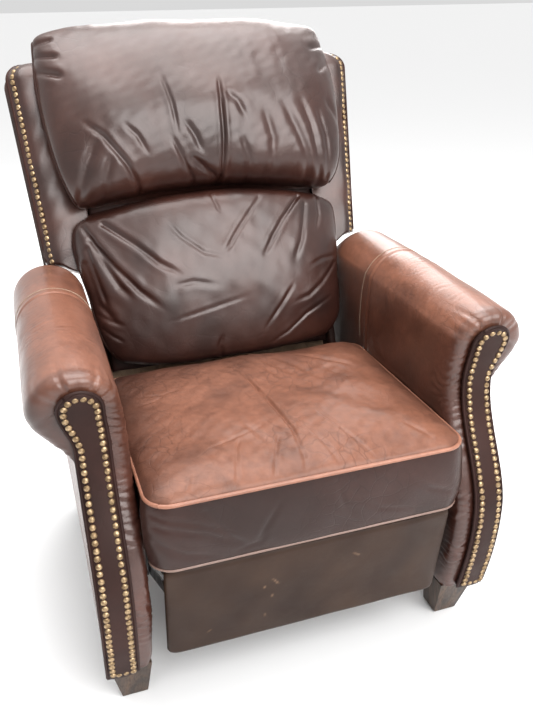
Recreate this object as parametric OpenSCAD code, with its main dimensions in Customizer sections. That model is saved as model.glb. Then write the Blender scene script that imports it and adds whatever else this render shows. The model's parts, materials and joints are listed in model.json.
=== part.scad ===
// Push-back recliner armchair with rolled arms, winged back and a fold-out footrest.
// Millimetres. +Z up, the chair faces -Y, X = 0 is its centre plane, the floor is Z = 0.

/* [Overall] */
// Lean of the back from vertical, upright, in degrees
back_lean = 20; // [16:1:24]
// How far the back reclines, in degrees
recline_angle = 28; // [10:1:28]
// How far the swing links turn while the back reclines, in degrees
swing_angle = 45; // [20:1:45]
// Distance from the centre plane to the inner face of an arm
arm_inner_x = 277; // [277:1:279]

/* [Arms] */
// Height of the arm's crest in the middle of its length
arm_crest_z = 664; // [650:1:675]
// Height of the arm's crest at its front end
arm_front_z = 645; // [630:1:650]
// Distance from the centre plane to the middle of the arm roll
roll_x = 356; // [352:1:360]
// Half of the arm roll's width
roll_half_w = 72; // [68:1:76]
// Height of the widest part of the arm roll
roll_mid_z = 590; // [580:1:600]
// Length position of the rear end of the arms
arm_rear_y = 283; // [275:1:283]

/* [Front facing] */
// Inner edge of the nailed facing strip
facing_inner_x = 311; // [308:1:314]
// Width of the nailed facing strip
facing_w = 52; // [46:1:56]
// Thickness of the facing panel
facing_t = 16; // [12:1:16]
// Radius of the round top of the facing
arch_r = 33.5; // [30:0.5:36]
// Middle of the facing's S-curve, front to back
facing_mid_y = -388; // [-392:1:-386]
// Half of the S-curve's depth
facing_swing = 38.5; // [30:0.5:38.5]

/* [Nail heads] */
// Radius of a nail head
nail_r = 5.5; // [4:0.1:6]
// Height of a nail head
nail_h = 3; // [2:0.1:4]
// Distance between the nails along a row
nail_pitch = 11.9; // [11.5:0.1:14]
// Distance from a nail row to the edge of its panel
nail_inset = 7; // [6.5:0.1:9]

/* [Seat] */
// Half width of the seat cushion
seat_half_w = 274; // [262:1:274]
// Length position of the seat cushion's front
seat_front_y = -440; // [-446:1:-436]
// Length position of the seat cushion's rear edge
seat_rear_y = 32; // [20:1:34]
// Height of the seat cushion's top
seat_top_z = 486; // [470:1:490]
// Lowest edge of the seat's front border
border_low_z = 325; // [323:1:330]

/* [Footrest] */
// Half width of the padded footrest panel
footrest_half_w = 258; // [250:1:260]
// Height of the padded footrest panel
footrest_h = 212; // [195:1:212]
// Tilt of the closed footrest panel, in degrees
footrest_tilt = 10; // [8:1:12]
// Length of the rear and front lift links, pivot to pivot
lift_len = 190; // [185:1:190]
// Angle of the closed lift links behind straight down, in degrees
lift_back = 25; // [24:1:26]

/* [Legs] */
// Height of the wooden legs
leg_h = 95; // [90:1:95]
// Width of a leg at its top
leg_top_w = 71; // [60:1:72]
// Width of a leg at its foot
leg_foot_w = 46; // [40:1:50]

/* [Hidden] */

// Colours
leather = [0.20, 0.11, 0.09];
leather_worn = [0.38, 0.20, 0.13];
leather_dark = [0.13, 0.08, 0.07];
brass = [0.62, 0.46, 0.24];
steel = [0.45, 0.46, 0.48];
black_steel = [0.16, 0.16, 0.17];
timber = [0.72, 0.56, 0.38];
stained = [0.22, 0.12, 0.07];
canvas = [0.75, 0.70, 0.60];
nylon = [0.10, 0.10, 0.10];

// Small clearances
soft_gap = 0.3;
nail_gap = 0.6;
bore_gap = 0.07;

// Arm frame: a plywood side with posts and rails on its outer face
ply_x = 300;
ply_t = 18;
post_t = 27;
post_outer_x = ply_x + ply_t + post_t;
frame_low_z = leg_h;
frame_top_z = 520;
frame_front_y = -330;
post_w = 40;
rail_h = 45;
outer_panel_t = 17;

// Side rails that carry the mechanism
side_rail_x = 272;
side_rail_z = 180;
side_rail_h = 55;
rear_rail_y = 242;
rear_rail_t = 22;
rear_rail_h = 195;
cross_rail_y = -60;

// Layers of the steelwork, from the arm inwards: [start, thickness] along X
base_plate_layer = [268, 4];
swing_layer = [263, 3];
seat_plate_layer = [258, 3];
lift_layer = [253, 3];
drag_layer = [248, 3];
bracket_layer = [243, 3];
back_bracket_layer = [252, 4];

// Swing links carry the seat on the base plates
swing_len = 70;
swing_rest = 35;
swing_low = [[60, 262], [-110, 262]];
function swing_arm(a) = swing_len * [sin(a), cos(a)];
function swing_top(i) = swing_low[i] + swing_arm(swing_rest);

// Back hinge and the guide roller below it, as [y, z]
hinge = [125, 360];
roller_local = [48, -34];
function turn_back(p, a) = [p[0] * cos(a) + p[1] * sin(a), p[1] * cos(a) - p[0] * sin(a)];
// Where a point of the back is, given [behind, up] in the back's own frame and the travel t from 0 to 1
function back_point(p, t) = hinge + swing_arm(swing_rest - swing_angle * t) - swing_arm(swing_rest)
  + turn_back(p, back_lean + recline_angle * t);

// Lift linkage of the footrest, as [y, z] with the footrest closed
lift_rear = [-175, 310];
lift_front = [-265, 310];
lift_dir = [sin(lift_back), -cos(lift_back)];
low_rear = lift_rear + lift_len * lift_dir;
low_front = lift_front + lift_len * lift_dir;
drag_reach = [-170, 97];
offset_on_link = 60;
high_front = low_front - offset_on_link * lift_dir;
board_low = low_front + drag_reach;
board_high = high_front + drag_reach;
link_r = 11;
pivot_r = 5;
head_r = 8;
head_t = 1.6;

// Footrest panel, in a frame at its lowest front edge
footrest_origin = [-392, 109];
pad_t = 25;
board_t = 15;
board_half_w = 236;

// Seat frame
seat_rail_x = 234;
seat_rail_w = 24;
seat_rail_z = 328;
seat_rail_h = 47;
seat_frame_front_y = -370;
seat_frame_rear_y = 95;
spring_wire = 3.6;
spring_wave = 13;
spring_step = 44;
deck_z = 379;
deck_t = 5;
cushion_z = deck_z + deck_t + soft_gap;

// Back, in its own frame: y runs backwards through it and z up along it, from the hinge
back_post_x = 222;
back_post_w = 30;
back_depth = [12, 52];
back_low = 40;
back_top = 690;
wing_low = 306;
wing_top = 716;
wing_corner = 40;
wing_low_x = 350;
wing_top_x = 376;
wing_inner_x = 253;
outside_y = 59.3;
outside_t = 14;

// ---------- helpers ----------

module on_side(side) { if (side > 0) children(); else mirror([1, 0, 0]) children(); }
module both_sides() { children(); mirror([1, 0, 0]) children(); }

// Extrudes a [y, z] outline along X
module side_plate(x, t) { translate([x, 0, 0]) rotate([90, 0, 90]) linear_extrude(t) children(); }
// Extrudes an [x, z] outline along Y
module front_plate(y, t) { translate([0, y + t, 0]) rotate([90, 0, 0]) linear_extrude(t) children(); }
// Round disc or pin along X at p = [y, z]
module disc(layer, p, r) {
  translate([layer[0], p[0], p[1]]) rotate([0, 90, 0]) cylinder(h = layer[1], r = r, $fn = 48);
}
module bore(layer, p, r) { disc([layer[0] - 1, layer[1] + 2], p, r); }
// Flat bar with round ends between two points of the side plane
module bar(layer, a, b, r) {
  turn = atan2(b[1] - a[1], b[0] - a[0]);
  side_plate(layer[0], layer[1])
    polygon(concat(arc(b, r, turn - 90, turn + 90, 12), arc(a, r, turn + 90, turn + 270, 12)));
}
// Pin with a thin head at either end of its shank
module rivet(x0, x1, p, low_head, high_head) {
  disc([x0, x1 - x0], p, pivot_r);
  if (low_head) disc([x0 - head_t, head_t], p, head_r);
  if (high_head) disc([x1, head_t], p, head_r);
}
function arc(c, r, a0, a1, n) = [for (i = [0:n]) c + r * [cos(a0 + (a1 - a0) * i / n), sin(a0 + (a1 - a0) * i / n)]];
function round_box(x0, x1, y0, y1, r) = concat(
  arc([x1 - r, y1 - r], r, 0, 90, 6), arc([x0 + r, y1 - r], r, 90, 180, 6),
  arc([x0 + r, y0 + r], r, 180, 270, 6), arc([x1 - r, y0 + r], r, 270, 360, 6));
function path_length(p, i = 0) = i >= len(p) - 1 ? 0 : norm(p[i + 1] - p[i]) + path_length(p, i + 1);
function along(p, s, i = 0) = let (d = norm(p[i + 1] - p[i]))
  s <= d || i == len(p) - 2 ? p[i] + (p[i + 1] - p[i]) * s / d : along(p, s - d, i + 1);

module in_back_frame() { translate([0, hinge[0], hinge[1]]) rotate([-back_lean, 0, 0]) children(); }
module in_footrest_frame() {
  translate([0, footrest_origin[0], footrest_origin[1]]) rotate([footrest_tilt, 0, 0]) children();
}

// Domed nail head, its flat base on Z = 0
module nail() {
  dome_r = (nail_r * nail_r + nail_h * nail_h) / (2 * nail_h);
  intersection() {
    translate([0, 0, nail_h - dome_r]) sphere(r = dome_r, $fn = 32);
    translate([-nail_r, -nail_r, 0]) cube([2 * nail_r, 2 * nail_r, nail_h + 1]);
  }
}

// ---------- arms ----------

module arm_frame(side) {
  color(timber) on_side(side) difference() {
    union() {
      translate([ply_x, frame_front_y, frame_low_z])
        cube([ply_t, arm_rear_y - frame_front_y, frame_top_z - frame_low_z]);
      for (y = [frame_front_y, arm_rear_y - post_w])
        translate([ply_x + ply_t, y, frame_low_z]) cube([post_t, post_w, frame_top_z - frame_low_z]);
      for (z = [frame_low_z, frame_top_z - rail_h])
        translate([ply_x + ply_t, frame_front_y, z]) cube([post_t, arm_rear_y - frame_front_y, rail_h]);
      translate([side_rail_x, frame_front_y + 2, side_rail_z])
        cube([ply_x - side_rail_x, rear_rail_y - frame_front_y - 2, side_rail_h]);
    }
    for (y = plate_screw_y) bore([side_rail_x, 20], [y, plate_screw_z], screw_r);
    for (p = leg_bolt_at) translate([p[0], p[1], frame_low_z - 1]) cylinder(h = 41, r = bolt_r, $fn = 32);
  }
}

// Height of the arm's crest along the arm: it climbs from the front and rounds off behind
fall_start_y = 150;
function crest(y) = y < fall_start_y
  ? arm_front_z + (arm_crest_z - arm_front_z) * sin(min(90, 90 * (y - frame_front_y) / 330))
  : arm_crest_z - 120 * (1 - cos(90 * (y - fall_start_y) / (arm_rear_y - fall_start_y)));

module arm_pad(side) {
  low = frame_top_z + soft_gap;
  steps = 20;
  ys = [for (i = [0:steps]) frame_front_y - 1 + (arm_rear_y - frame_front_y + 1) * i / steps];
  section = [for (a = [-180:9:179]) [roll_x + roll_half_w * cos(a), roll_mid_z + (arm_crest_z - roll_mid_z) * sin(a)]];
  color(leather_worn) on_side(side) intersection() {
    front_plate(frame_front_y - 1, arm_rear_y - frame_front_y + 1) polygon(section);
    side_plate(roll_x - 100, 200) polygon(concat([for (y = ys) [y, crest(y)]], [[arm_rear_y, low], [ys[0], low]]));
  }
}

module inner_arm(side) {
  color(leather) on_side(side)
    translate([arm_inner_x, frame_front_y, 380]) cube([ply_x - arm_inner_x - soft_gap, arm_rear_y - frame_front_y, 140]);
}

module outer_arm(side) {
  color(leather) on_side(side)
    translate([post_outer_x + soft_gap, frame_front_y, frame_low_z + 1])
      cube([outer_panel_t, arm_rear_y - frame_front_y, 410]);
}

// Front of the facing along its height: a bulge low down and a waist under the arm roll
bulge_z = 290;
waist_z = 520;
bulge_run = 430;
top_run = 300;
function facing_y(z) =
  z < bulge_z ? facing_mid_y - facing_swing * cos(180 * (bulge_z - z) / bulge_run) :
  z < waist_z ? facing_mid_y - facing_swing * cos(180 * (z - bulge_z) / (waist_z - bulge_z)) :
  facing_mid_y + facing_swing * cos(180 * (z - waist_z) / top_run);
function facing_slope(z) = atan(facing_y(z + 0.5) - facing_y(z - 0.5));

facing_low_z = 100;
arch_start_z = 540;
arch_c = [348.5, 595];
function facing_outline(inset) = concat(
  [[facing_inner_x + inset, facing_low_z + inset], [facing_inner_x + facing_w - inset, facing_low_z + inset],
   [facing_inner_x + facing_w - inset, arch_start_z]],
  arc(arch_c, arch_r - inset, -14, 188, 16),
  [[facing_inner_x + inset, arch_start_z]]);

// Solid between the S-curve pushed back by t0 and by t1
module facing_slab(x, w, z0, z1, t0, t1) {
  steps = 72;
  zs = [for (i = [0:steps]) z0 + (z1 - z0) * i / steps];
  side_plate(x, w) polygon(concat([for (z = zs) [facing_y(z) + t0, z]],
                                  [for (i = [steps:-1:0]) [facing_y(zs[i]) + t1, zs[i]]]));
}

module front_facing(side) {
  color(leather_dark) on_side(side) intersection() {
    facing_slab(facing_inner_x - 5, 90, 90, 640, 0, facing_t);
    front_plate(-450, 130) polygon(facing_outline(0));
  }
}

module arm_front(side) {
  low = frame_low_z + 2;
  high = 505;
  steps = 30;
  zs = [for (i = [0:steps]) low + (high - low) * i / steps];
  color(leather) on_side(side) side_plate(arm_inner_x - 3, 83) polygon(concat(
    [for (z = zs) [facing_y(z) + facing_t + soft_gap, z]],
    [[frame_front_y - soft_gap, high], [frame_front_y - soft_gap, low]]));
}

module facing_nails(side) {
  row = facing_outline(nail_inset);
  path = concat([for (i = [1:len(row) - 1]) row[i]], [row[0]]);
  count = floor(path_length(path) / nail_pitch);
  foot_x0 = facing_inner_x + nail_inset;
  foot_w = facing_w - 2 * nail_inset;
  foot_row = [for (i = [1:2]) [foot_x0 + foot_w * i / 3, facing_low_z + nail_inset]];
  spots = concat([for (i = [0:count]) along(path, i * path_length(path) / count)], foot_row);
  color(brass) on_side(side) for (p = spots)
    translate([p[0], facing_y(p[1]), p[1]]) rotate([90 - facing_slope(p[1]), 0, 0])
      translate([0, 0, nail_gap]) nail();
}

// ---------- legs, rails and base plates ----------

bolt_r = 4;
screw_r = 3;
plate_screw_y = [-115, 20, 150];
plate_screw_z = 205;
leg_bolt_at = [[331, -312], [331, 262]];
glide_t = 3;
glide_r = 15;
front_foot = [317, -325];
rear_foot = [322, 268];

module leg(x0, y0, w, d, foot) {
  difference() {
    hull() {
      translate([x0, y0, frame_low_z - 1]) cube([w, d, 1]);
      translate([foot[0] - leg_foot_w / 2, foot[1] - leg_foot_w / 2, glide_t]) cube([leg_foot_w, leg_foot_w, 1]);
    }
    for (p = leg_bolt_at) translate([p[0], p[1], frame_low_z - 35]) cylinder(h = 40, r = bolt_r, $fn = 32);
  }
}
module front_leg(side) { color(stained) on_side(side) leg(285, -376, leg_top_w, leg_top_w, front_foot); }
module rear_leg(side) { color(stained) on_side(side) leg(294, 226, 52, 56, rear_foot); }

module leg_glides() {
  color(nylon) both_sides() for (p = [front_foot, rear_foot])
    translate([p[0], p[1], 0]) cylinder(h = glide_t, r = glide_r, $fn = 40);
}
module leg_bolts() {
  color(steel) both_sides() for (p = leg_bolt_at)
    translate([p[0], p[1], frame_low_z - 35]) cylinder(h = 75, r = bolt_r, $fn = 32);
}

module rear_rail() {
  color(timber) translate([-ply_x, rear_rail_y, frame_low_z]) cube([2 * ply_x, rear_rail_t, rear_rail_h]);
}
module rear_band() {
  color(leather) translate([-ply_x + soft_gap, rear_rail_y + rear_rail_t + soft_gap, frame_low_z + 1])
    cube([2 * (ply_x - soft_gap), 18, 202]);
}
module cross_rail() {
  half = base_plate_layer[0];
  color(timber) translate([-half, cross_rail_y, side_rail_z]) cube([2 * half, 40, 45]);
}

// Curved slot that the guide roller runs in
slot_half_w = 5.6;
slot_steps = 24;
module guide_slot(layer) {
  ts = [for (i = [0:slot_steps]) i / slot_steps];
  path = [for (t = ts) back_point(roller_local, t)];
  dirs = [for (t = ts) let (d = back_point(roller_local, t + 0.01) - back_point(roller_local, t - 0.01)) d / norm(d)];
  cut = [layer[0] - 1, layer[1] + 2];
  side_plate(cut[0], cut[1]) polygon(concat(
    [for (i = [0:slot_steps]) path[i] + slot_half_w * [-dirs[i][1], dirs[i][0]]],
    [for (i = [slot_steps:-1:0]) path[i] - slot_half_w * [-dirs[i][1], dirs[i][0]]]));
  for (p = [path[0], path[slot_steps]]) disc(cut, p, slot_half_w);
}
module base_plate(side) {
  color(black_steel) on_side(side) difference() {
    side_plate(base_plate_layer[0], base_plate_layer[1]) polygon(round_box(-140, 182, 185, 338, 14));
    guide_slot(base_plate_layer);
    for (p = swing_low) bore(base_plate_layer, p, pivot_r);
    for (y = plate_screw_y) bore(base_plate_layer, [y, plate_screw_z], screw_r);
  }
}
module base_pivots() {
  color(steel) both_sides() for (p = swing_low) {
    rivet(swing_layer[0] - 0.2, base_plate_layer[0] + base_plate_layer[1], p, true, false);
  }
}
module frame_screws() {
  color(steel) both_sides() for (y = plate_screw_y) {
    disc([base_plate_layer[0], 20], [y, plate_screw_z], screw_r);
    disc([base_plate_layer[0] - 2, 2], [y, plate_screw_z], 6);
  }
}

module swing_pair(i) {
  both_sides() difference() {
    bar(swing_layer, swing_low[i], swing_top(i), link_r);
    for (p = [swing_low[i], swing_top(i)]) bore(swing_layer, p, pivot_r + bore_gap);
  }
}
module rear_swing_links() { color(steel) swing_pair(0); }
module front_swing_links() { color(steel) swing_pair(1); }

// ---------- seat ----------

module seat_frame() {
  depth = seat_frame_rear_y - seat_frame_front_y;
  color(timber) {
    for (x = [seat_rail_x, -seat_rail_x - seat_rail_w])
      translate([x, seat_frame_front_y, seat_rail_z]) cube([seat_rail_w, depth, seat_rail_h]);
    for (y = [seat_frame_front_y, seat_frame_rear_y - 28])
      translate([-seat_rail_x, y, seat_rail_z]) cube([2 * seat_rail_x, 28, seat_rail_h]);
  }
}

// Zigzag wires from the front rail to the rear rail
module seat_springs() {
  length = seat_frame_rear_y - seat_frame_front_y - 24;
  steps = 96;
  bends = 11;
  wave = [for (i = [0:steps]) let (s = i / steps) [spring_wave * sin(180 * bends * s) , s * length]];
  slope = [for (i = [0:steps]) spring_wave * cos(180 * bends * i / steps) * PI * bends / length];
  half = spring_wire / 2;
  color(steel) for (k = [-4:4])
    translate([k * spring_step, seat_frame_front_y + 12, seat_rail_z + seat_rail_h])
      linear_extrude(spring_wire) polygon(concat(
        [for (i = [0:steps]) wave[i] + half * [1, -slope[i]] / norm([1, slope[i]])],
        [for (i = [steps:-1:0]) wave[i] - half * [1, -slope[i]] / norm([1, slope[i]])]));
}

module seat_deck() {
  color(canvas) translate([-260, seat_frame_front_y + 1, deck_z])
    cube([520, seat_frame_rear_y - seat_frame_front_y - 2, deck_t]);
}

module seat_cushion() {
  color(leather_worn) {
    translate([0, 0, cushion_z]) linear_extrude(seat_top_z - cushion_z)
      polygon(round_box(-seat_half_w, seat_half_w, seat_front_y, seat_rear_y, 22));
    translate([0, 0, border_low_z]) linear_extrude(cushion_z - border_low_z + 1)
      polygon(round_box(5 - seat_half_w, seat_half_w - 5, seat_front_y, -376, 14));
  }
}

module seat_plate(side) {
  color(black_steel) on_side(side) difference() {
    union() {
      side_plate(seat_plate_layer[0], seat_plate_layer[1]) polygon(round_box(-300, 113, 296, 374, 12));
      disc(seat_plate_layer, hinge, 16);
    }
    bore(seat_plate_layer, hinge, pivot_r + 1);
    for (p = [lift_rear, lift_front, swing_top(0), swing_top(1)]) bore(seat_plate_layer, p, pivot_r);
    bore(seat_plate_layer, spring_hook, 3);
  }
}

spring_hook = [12, 310];
spring_link = lift_rear + 52 * lift_dir;
module seat_pivots() {
  inner = seat_plate_layer[0];
  outer = seat_plate_layer[0] + seat_plate_layer[1];
  color(steel) both_sides() {
    rivet(lift_layer[0] - 1.2, outer, lift_rear, false, true);
    rivet(lift_layer[0] - 0.2, outer, lift_front, true, true);
    for (i = [0, 1]) rivet(inner, swing_layer[0] + swing_layer[1] + 0.2, swing_top(i), false, true);
    disc([back_bracket_layer[0] - 0.2, outer - back_bracket_layer[0] + 0.2], hinge, pivot_r + 1);
    disc([back_bracket_layer[0] - 2.2, 2], hinge, head_r + 1);
    disc([238, outer - 238], spring_hook, 3);
  }
}

// ---------- footrest linkage ----------

module rear_links() {
  color(black_steel) both_sides() {
    difference() {
      bar(lift_layer, lift_rear, low_rear, link_r);
      for (p = [lift_rear, low_rear]) bore(lift_layer, p, pivot_r + bore_gap);
    }
    rivet(drag_layer[0] - 0.2, lift_layer[0], low_rear, true, false);
    disc([238, lift_layer[0] - 238], spring_link, 3);
  }
}
module torque_tube() {
  color(steel) translate([-lift_layer[0] + 0.1, lift_rear[0], lift_rear[1]]) rotate([0, 90, 0]) difference() {
    cylinder(h = 2 * lift_layer[0] - 0.2, r = 9, $fn = 48);
    translate([0, 0, -1]) cylinder(h = 2 * lift_layer[0] + 2, r = 7, $fn = 48);
  }
}
module front_links() {
  color(black_steel) both_sides() {
    difference() {
      bar(lift_layer, lift_front, low_front, link_r);
      for (p = [lift_front, low_front]) bore(lift_layer, p, pivot_r + bore_gap);
    }
    for (p = [low_front, high_front]) rivet(drag_layer[0] - 0.2, lift_layer[0], p, true, false);
  }
}
module long_links() {
  color(black_steel) both_sides() {
    difference() {
      union() {
        bar(drag_layer, low_rear, low_front, link_r - 2);
        bar(drag_layer, low_front, board_low, link_r - 1);
      }
      bore(drag_layer, low_rear, pivot_r + bore_gap);
      bore(drag_layer, low_front, pivot_r + 0.6);
      bore(drag_layer, board_low, pivot_r);
    }
    rivet(bracket_layer[0] - 0.2, drag_layer[0] + drag_layer[1], board_low, true, false);
  }
}
module short_links() {
  color(black_steel) both_sides() {
    difference() {
      bar(drag_layer, high_front, board_high, link_r - 1);
      bore(drag_layer, high_front, pivot_r + bore_gap);
      bore(drag_layer, board_high, pivot_r);
    }
    rivet(bracket_layer[0] - 0.2, drag_layer[0] + drag_layer[1], board_high, true, false);
  }
}
module footrest_springs() {
  d = spring_link - spring_hook;
  color(steel) both_sides() translate([243, spring_hook[0], spring_hook[1]])
    rotate([atan2(d[1], d[0]) - 90, 0, 0]) translate([0, 0, 6]) cylinder(h = norm(d) - 12, r = 6, $fn = 32);
}

ear_z = [100, 192];
flange_z = [100, 160];
module footrest_brackets() {
  ear = [bracket_layer[0], bracket_layer[1]];
  color(black_steel) both_sides() difference() {
    union() {
      bar(ear, board_low, board_high, link_r - 1);
      in_footrest_frame() translate([ear[0], pad_t + board_t + soft_gap, ear_z[0]])
        cube([ear[1], 16, ear_z[1] - ear_z[0]]);
      in_footrest_frame() translate([198, pad_t + board_t + soft_gap, flange_z[0]])
        cube([ear[0] - 197, 3, flange_z[1] - flange_z[0]]);
    }
    bore(ear, board_low, pivot_r + bore_gap);
    bore(ear, board_high, pivot_r + 0.6);
  }
}
module footrest_board() {
  color(timber) in_footrest_frame() translate([-board_half_w, pad_t + soft_gap, 10])
    cube([2 * board_half_w, board_t, footrest_h - 22]);
}
module footrest_pad() {
  color(leather_dark) in_footrest_frame() translate([0, pad_t, 0]) rotate([90, 0, 0])
    linear_extrude(pad_t) polygon(round_box(-footrest_half_w, footrest_half_w, 0, footrest_h, 12));
}
module footrest_screws() {
  color(steel) both_sides() in_footrest_frame() for (z = [115, 146])
    translate([214, pad_t + board_t + 3 + soft_gap, z]) rotate([-90, 0, 0]) cylinder(h = 2.5, r = 5, $fn = 32);
}

// ---------- back ----------

module back_frame() {
  depth = back_depth[1] - back_depth[0];
  color(timber) in_back_frame() difference() {
    union() {
      for (x = [back_post_x, -back_post_x - back_post_w])
        translate([x, back_depth[0], back_low]) cube([back_post_w, depth, back_top - back_low]);
      for (z = [back_low, 340, back_top - 45])
        translate([-back_post_x, back_depth[0], z]) cube([2 * back_post_x, depth, 45]);
    }
    for (p = back_screw_at) both_sides()
      translate([back_post_x + back_post_w - 18, p[0], p[1]]) rotate([0, 90, 0]) cylinder(h = 20, r = screw_r, $fn = 32);
  }
}
back_screw_at = [[26, 95], [40, 175]];
module back_webbing() {
  color(canvas) in_back_frame() for (z = [100:62:640])
    translate([-back_post_x - 22, back_depth[0] - 3, z]) cube([2 * (back_post_x + 22), 3, 48]);
}
module inner_back_pad() {
  color(canvas) in_back_frame() translate([-250, -27.4, 62]) cube([500, 36, 640]);
}
module outside_back() {
  wide_x = wing_top_x - 8;
  outline = concat([[-248, -40], [248, -40], [248, wing_low + 2], [wing_low_x - 6, wing_low + 2],
                    [wide_x, wing_top - wing_corner]],
                   arc([wide_x - wing_corner, wing_top - wing_corner], wing_corner, 8, 90, 8),
                   arc([wing_corner - wide_x, wing_top - wing_corner], wing_corner, 90, 172, 8),
                   [[-wide_x, wing_top - wing_corner], [6 - wing_low_x, wing_low + 2], [-248, wing_low + 2]]);
  color(leather) in_back_frame() {
    front_plate(outside_y, outside_t) polygon(outline);
    // Lip that closes the top of the back between the wings
    translate([soft_gap - wing_inner_x, 27, back_top + 2]) cube([2 * (wing_inner_x - soft_gap), outside_y - 26, wing_top - back_top - 2]);
  }
}

// Cross-section of a wing: the front face falls back towards its outer edge
module wing_slice(x, z) {
  translate([0, 0, z]) linear_extrude(0.5)
    polygon([[wing_inner_x, -27], [x - 14, -25], [x, -12], [x, outside_y - soft_gap], [wing_inner_x, outside_y - soft_gap]]);
}
module wing(side) {
  color(leather) on_side(side) in_back_frame() hull() {
    wing_slice(wing_low_x, wing_low);
    for (a = [0:15:90]) wing_slice(wing_top_x - wing_corner * (1 - cos(a)), wing_top - 0.5 - wing_corner * (1 - sin(a)));
  }
}
module wing_nails(side) {
  row_inset = 17;
  corner = wing_corner - row_inset / 2;
  path = concat([[wing_low_x - row_inset, wing_low + 8], [wing_top_x - row_inset - 1, wing_top - 9 - corner]],
                arc([wing_top_x - row_inset - 1 - corner, wing_top - 9 - corner], corner, 8, 62, 6));
  count = floor(path_length(path) / nail_pitch);
  color(brass) on_side(side) in_back_frame() for (i = [0:count]) {
    p = along(path, i * path_length(path) / count);
    translate([p[0], -26.5, p[1]]) rotate([90, 0, 0]) nail();
  }
}

module headrest_pillow() {
  outline = [[-30, 396], [-95, 400], [-128, 428], [-146, 480], [-148, 560], [-134, 640], [-102, 708],
             [-76, 756], [-40, 776], [2, 777], [26, 756], [26, 720], [-30, 720]];
  color(leather_dark) in_back_frame() side_plate(-300, 600) polygon(outline);
}
module lumbar_cushion() {
  outline = [[-28.5, 64], [-98, 64], [-120, 84], [-138, 150], [-140, 230], [-124, 320], [-96, 392], [-28.5, 394]];
  color(leather) in_back_frame() side_plate(-272, 544) polygon(outline);
}

module back_bracket(side) {
  layer = back_bracket_layer;
  color(black_steel) on_side(side) in_back_frame() difference() {
    union() {
      bar(layer, [0, 0], [30, 70], 14);
      bar(layer, [0, 0], roller_local, 12);
      bar(layer, [30, 70], [34, 185], 14);
    }
    bore(layer, [0, 0], pivot_r + 1 + bore_gap);
    bore(layer, roller_local, pivot_r);
    for (p = back_screw_at) bore(layer, p, screw_r);
  }
}
module back_screws() {
  x = back_bracket_layer[0];
  color(steel) both_sides() in_back_frame() for (p = back_screw_at) {
    disc([x - 18, 22], p, screw_r);
    disc([x + 4, 1.8], p, 6);
  }
}
module guide_rollers() {
  x = back_bracket_layer[0];
  color(nylon) both_sides() in_back_frame() disc([x, 271.6 - x], roller_local, pivot_r);
}

arm_frame(-1);  // arm_frame_left
arm_frame(1);  // arm_frame_right
arm_pad(-1);  // arm_pad_left
arm_pad(1);  // arm_pad_right
inner_arm(-1);  // inner_arm_left
inner_arm(1);  // inner_arm_right
outer_arm(-1);  // outer_arm_left
outer_arm(1);  // outer_arm_right
arm_front(-1);  // arm_front_left
arm_front(1);  // arm_front_right
front_facing(-1);  // front_facing_left
front_facing(1);  // front_facing_right
facing_nails(-1);  // facing_nails_left
facing_nails(1);  // facing_nails_right
front_leg(-1);  // front_leg_left
front_leg(1);  // front_leg_right
rear_leg(-1);  // rear_leg_left
rear_leg(1);  // rear_leg_right
leg_glides();
leg_bolts();
rear_rail();
rear_band();
cross_rail();
base_plate(-1);  // base_plate_left
base_plate(1);  // base_plate_right
base_pivots();
frame_screws();
rear_swing_links();
front_swing_links();
seat_frame();
seat_springs();
seat_deck();
seat_cushion();
seat_plate(-1);  // seat_plate_left
seat_plate(1);  // seat_plate_right
seat_pivots();
rear_links();
torque_tube();
front_links();
long_links();
short_links();
footrest_springs();
footrest_brackets();
footrest_board();
footrest_pad();
footrest_screws();
back_frame();
back_webbing();
inner_back_pad();
outside_back();
wing(-1);  // wing_left
wing(1);  // wing_right
wing_nails(-1);  // wing_nails_left
wing_nails(1);  // wing_nails_right
headrest_pillow();
lumbar_cushion();
back_bracket(-1);  // back_bracket_left
back_bracket(1);  // back_bracket_right
back_screws();
guide_rollers();
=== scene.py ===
# %% [markdown]
# # A push-back recliner in aged brown leather
#
# The steel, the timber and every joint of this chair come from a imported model, the frame.
# This lesson dresses that frame: leather covers, cushions, welts, nail heads, stitching and
# wood. Each piece is a surface worked out with numpy, as a function of two parameters, and
# rides on the body that it belongs to, so the chair still reclines.

# %% Load the frame and keep its box
import json
import math

import bpy
import numpy as np
from mathutils import Matrix, Vector


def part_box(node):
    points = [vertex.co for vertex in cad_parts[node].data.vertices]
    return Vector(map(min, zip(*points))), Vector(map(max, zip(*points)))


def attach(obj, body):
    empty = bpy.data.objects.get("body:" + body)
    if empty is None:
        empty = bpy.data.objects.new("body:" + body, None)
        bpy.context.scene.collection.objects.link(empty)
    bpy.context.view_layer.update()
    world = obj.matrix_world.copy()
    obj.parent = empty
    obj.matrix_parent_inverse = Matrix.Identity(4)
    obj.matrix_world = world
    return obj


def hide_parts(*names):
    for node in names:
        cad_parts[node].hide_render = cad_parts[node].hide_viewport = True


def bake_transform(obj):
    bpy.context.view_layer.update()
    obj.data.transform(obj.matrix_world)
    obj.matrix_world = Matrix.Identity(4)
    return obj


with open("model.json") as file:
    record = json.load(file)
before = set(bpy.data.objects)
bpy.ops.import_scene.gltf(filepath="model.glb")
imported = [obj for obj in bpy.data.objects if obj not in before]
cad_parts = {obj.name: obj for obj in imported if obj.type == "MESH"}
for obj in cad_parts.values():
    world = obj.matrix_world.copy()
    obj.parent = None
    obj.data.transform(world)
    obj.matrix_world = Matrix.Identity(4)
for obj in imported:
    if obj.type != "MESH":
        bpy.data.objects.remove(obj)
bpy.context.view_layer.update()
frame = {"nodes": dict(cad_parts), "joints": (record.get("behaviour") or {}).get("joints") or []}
SIDES = (("left", -1.0), ("right", 1.0))

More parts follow.
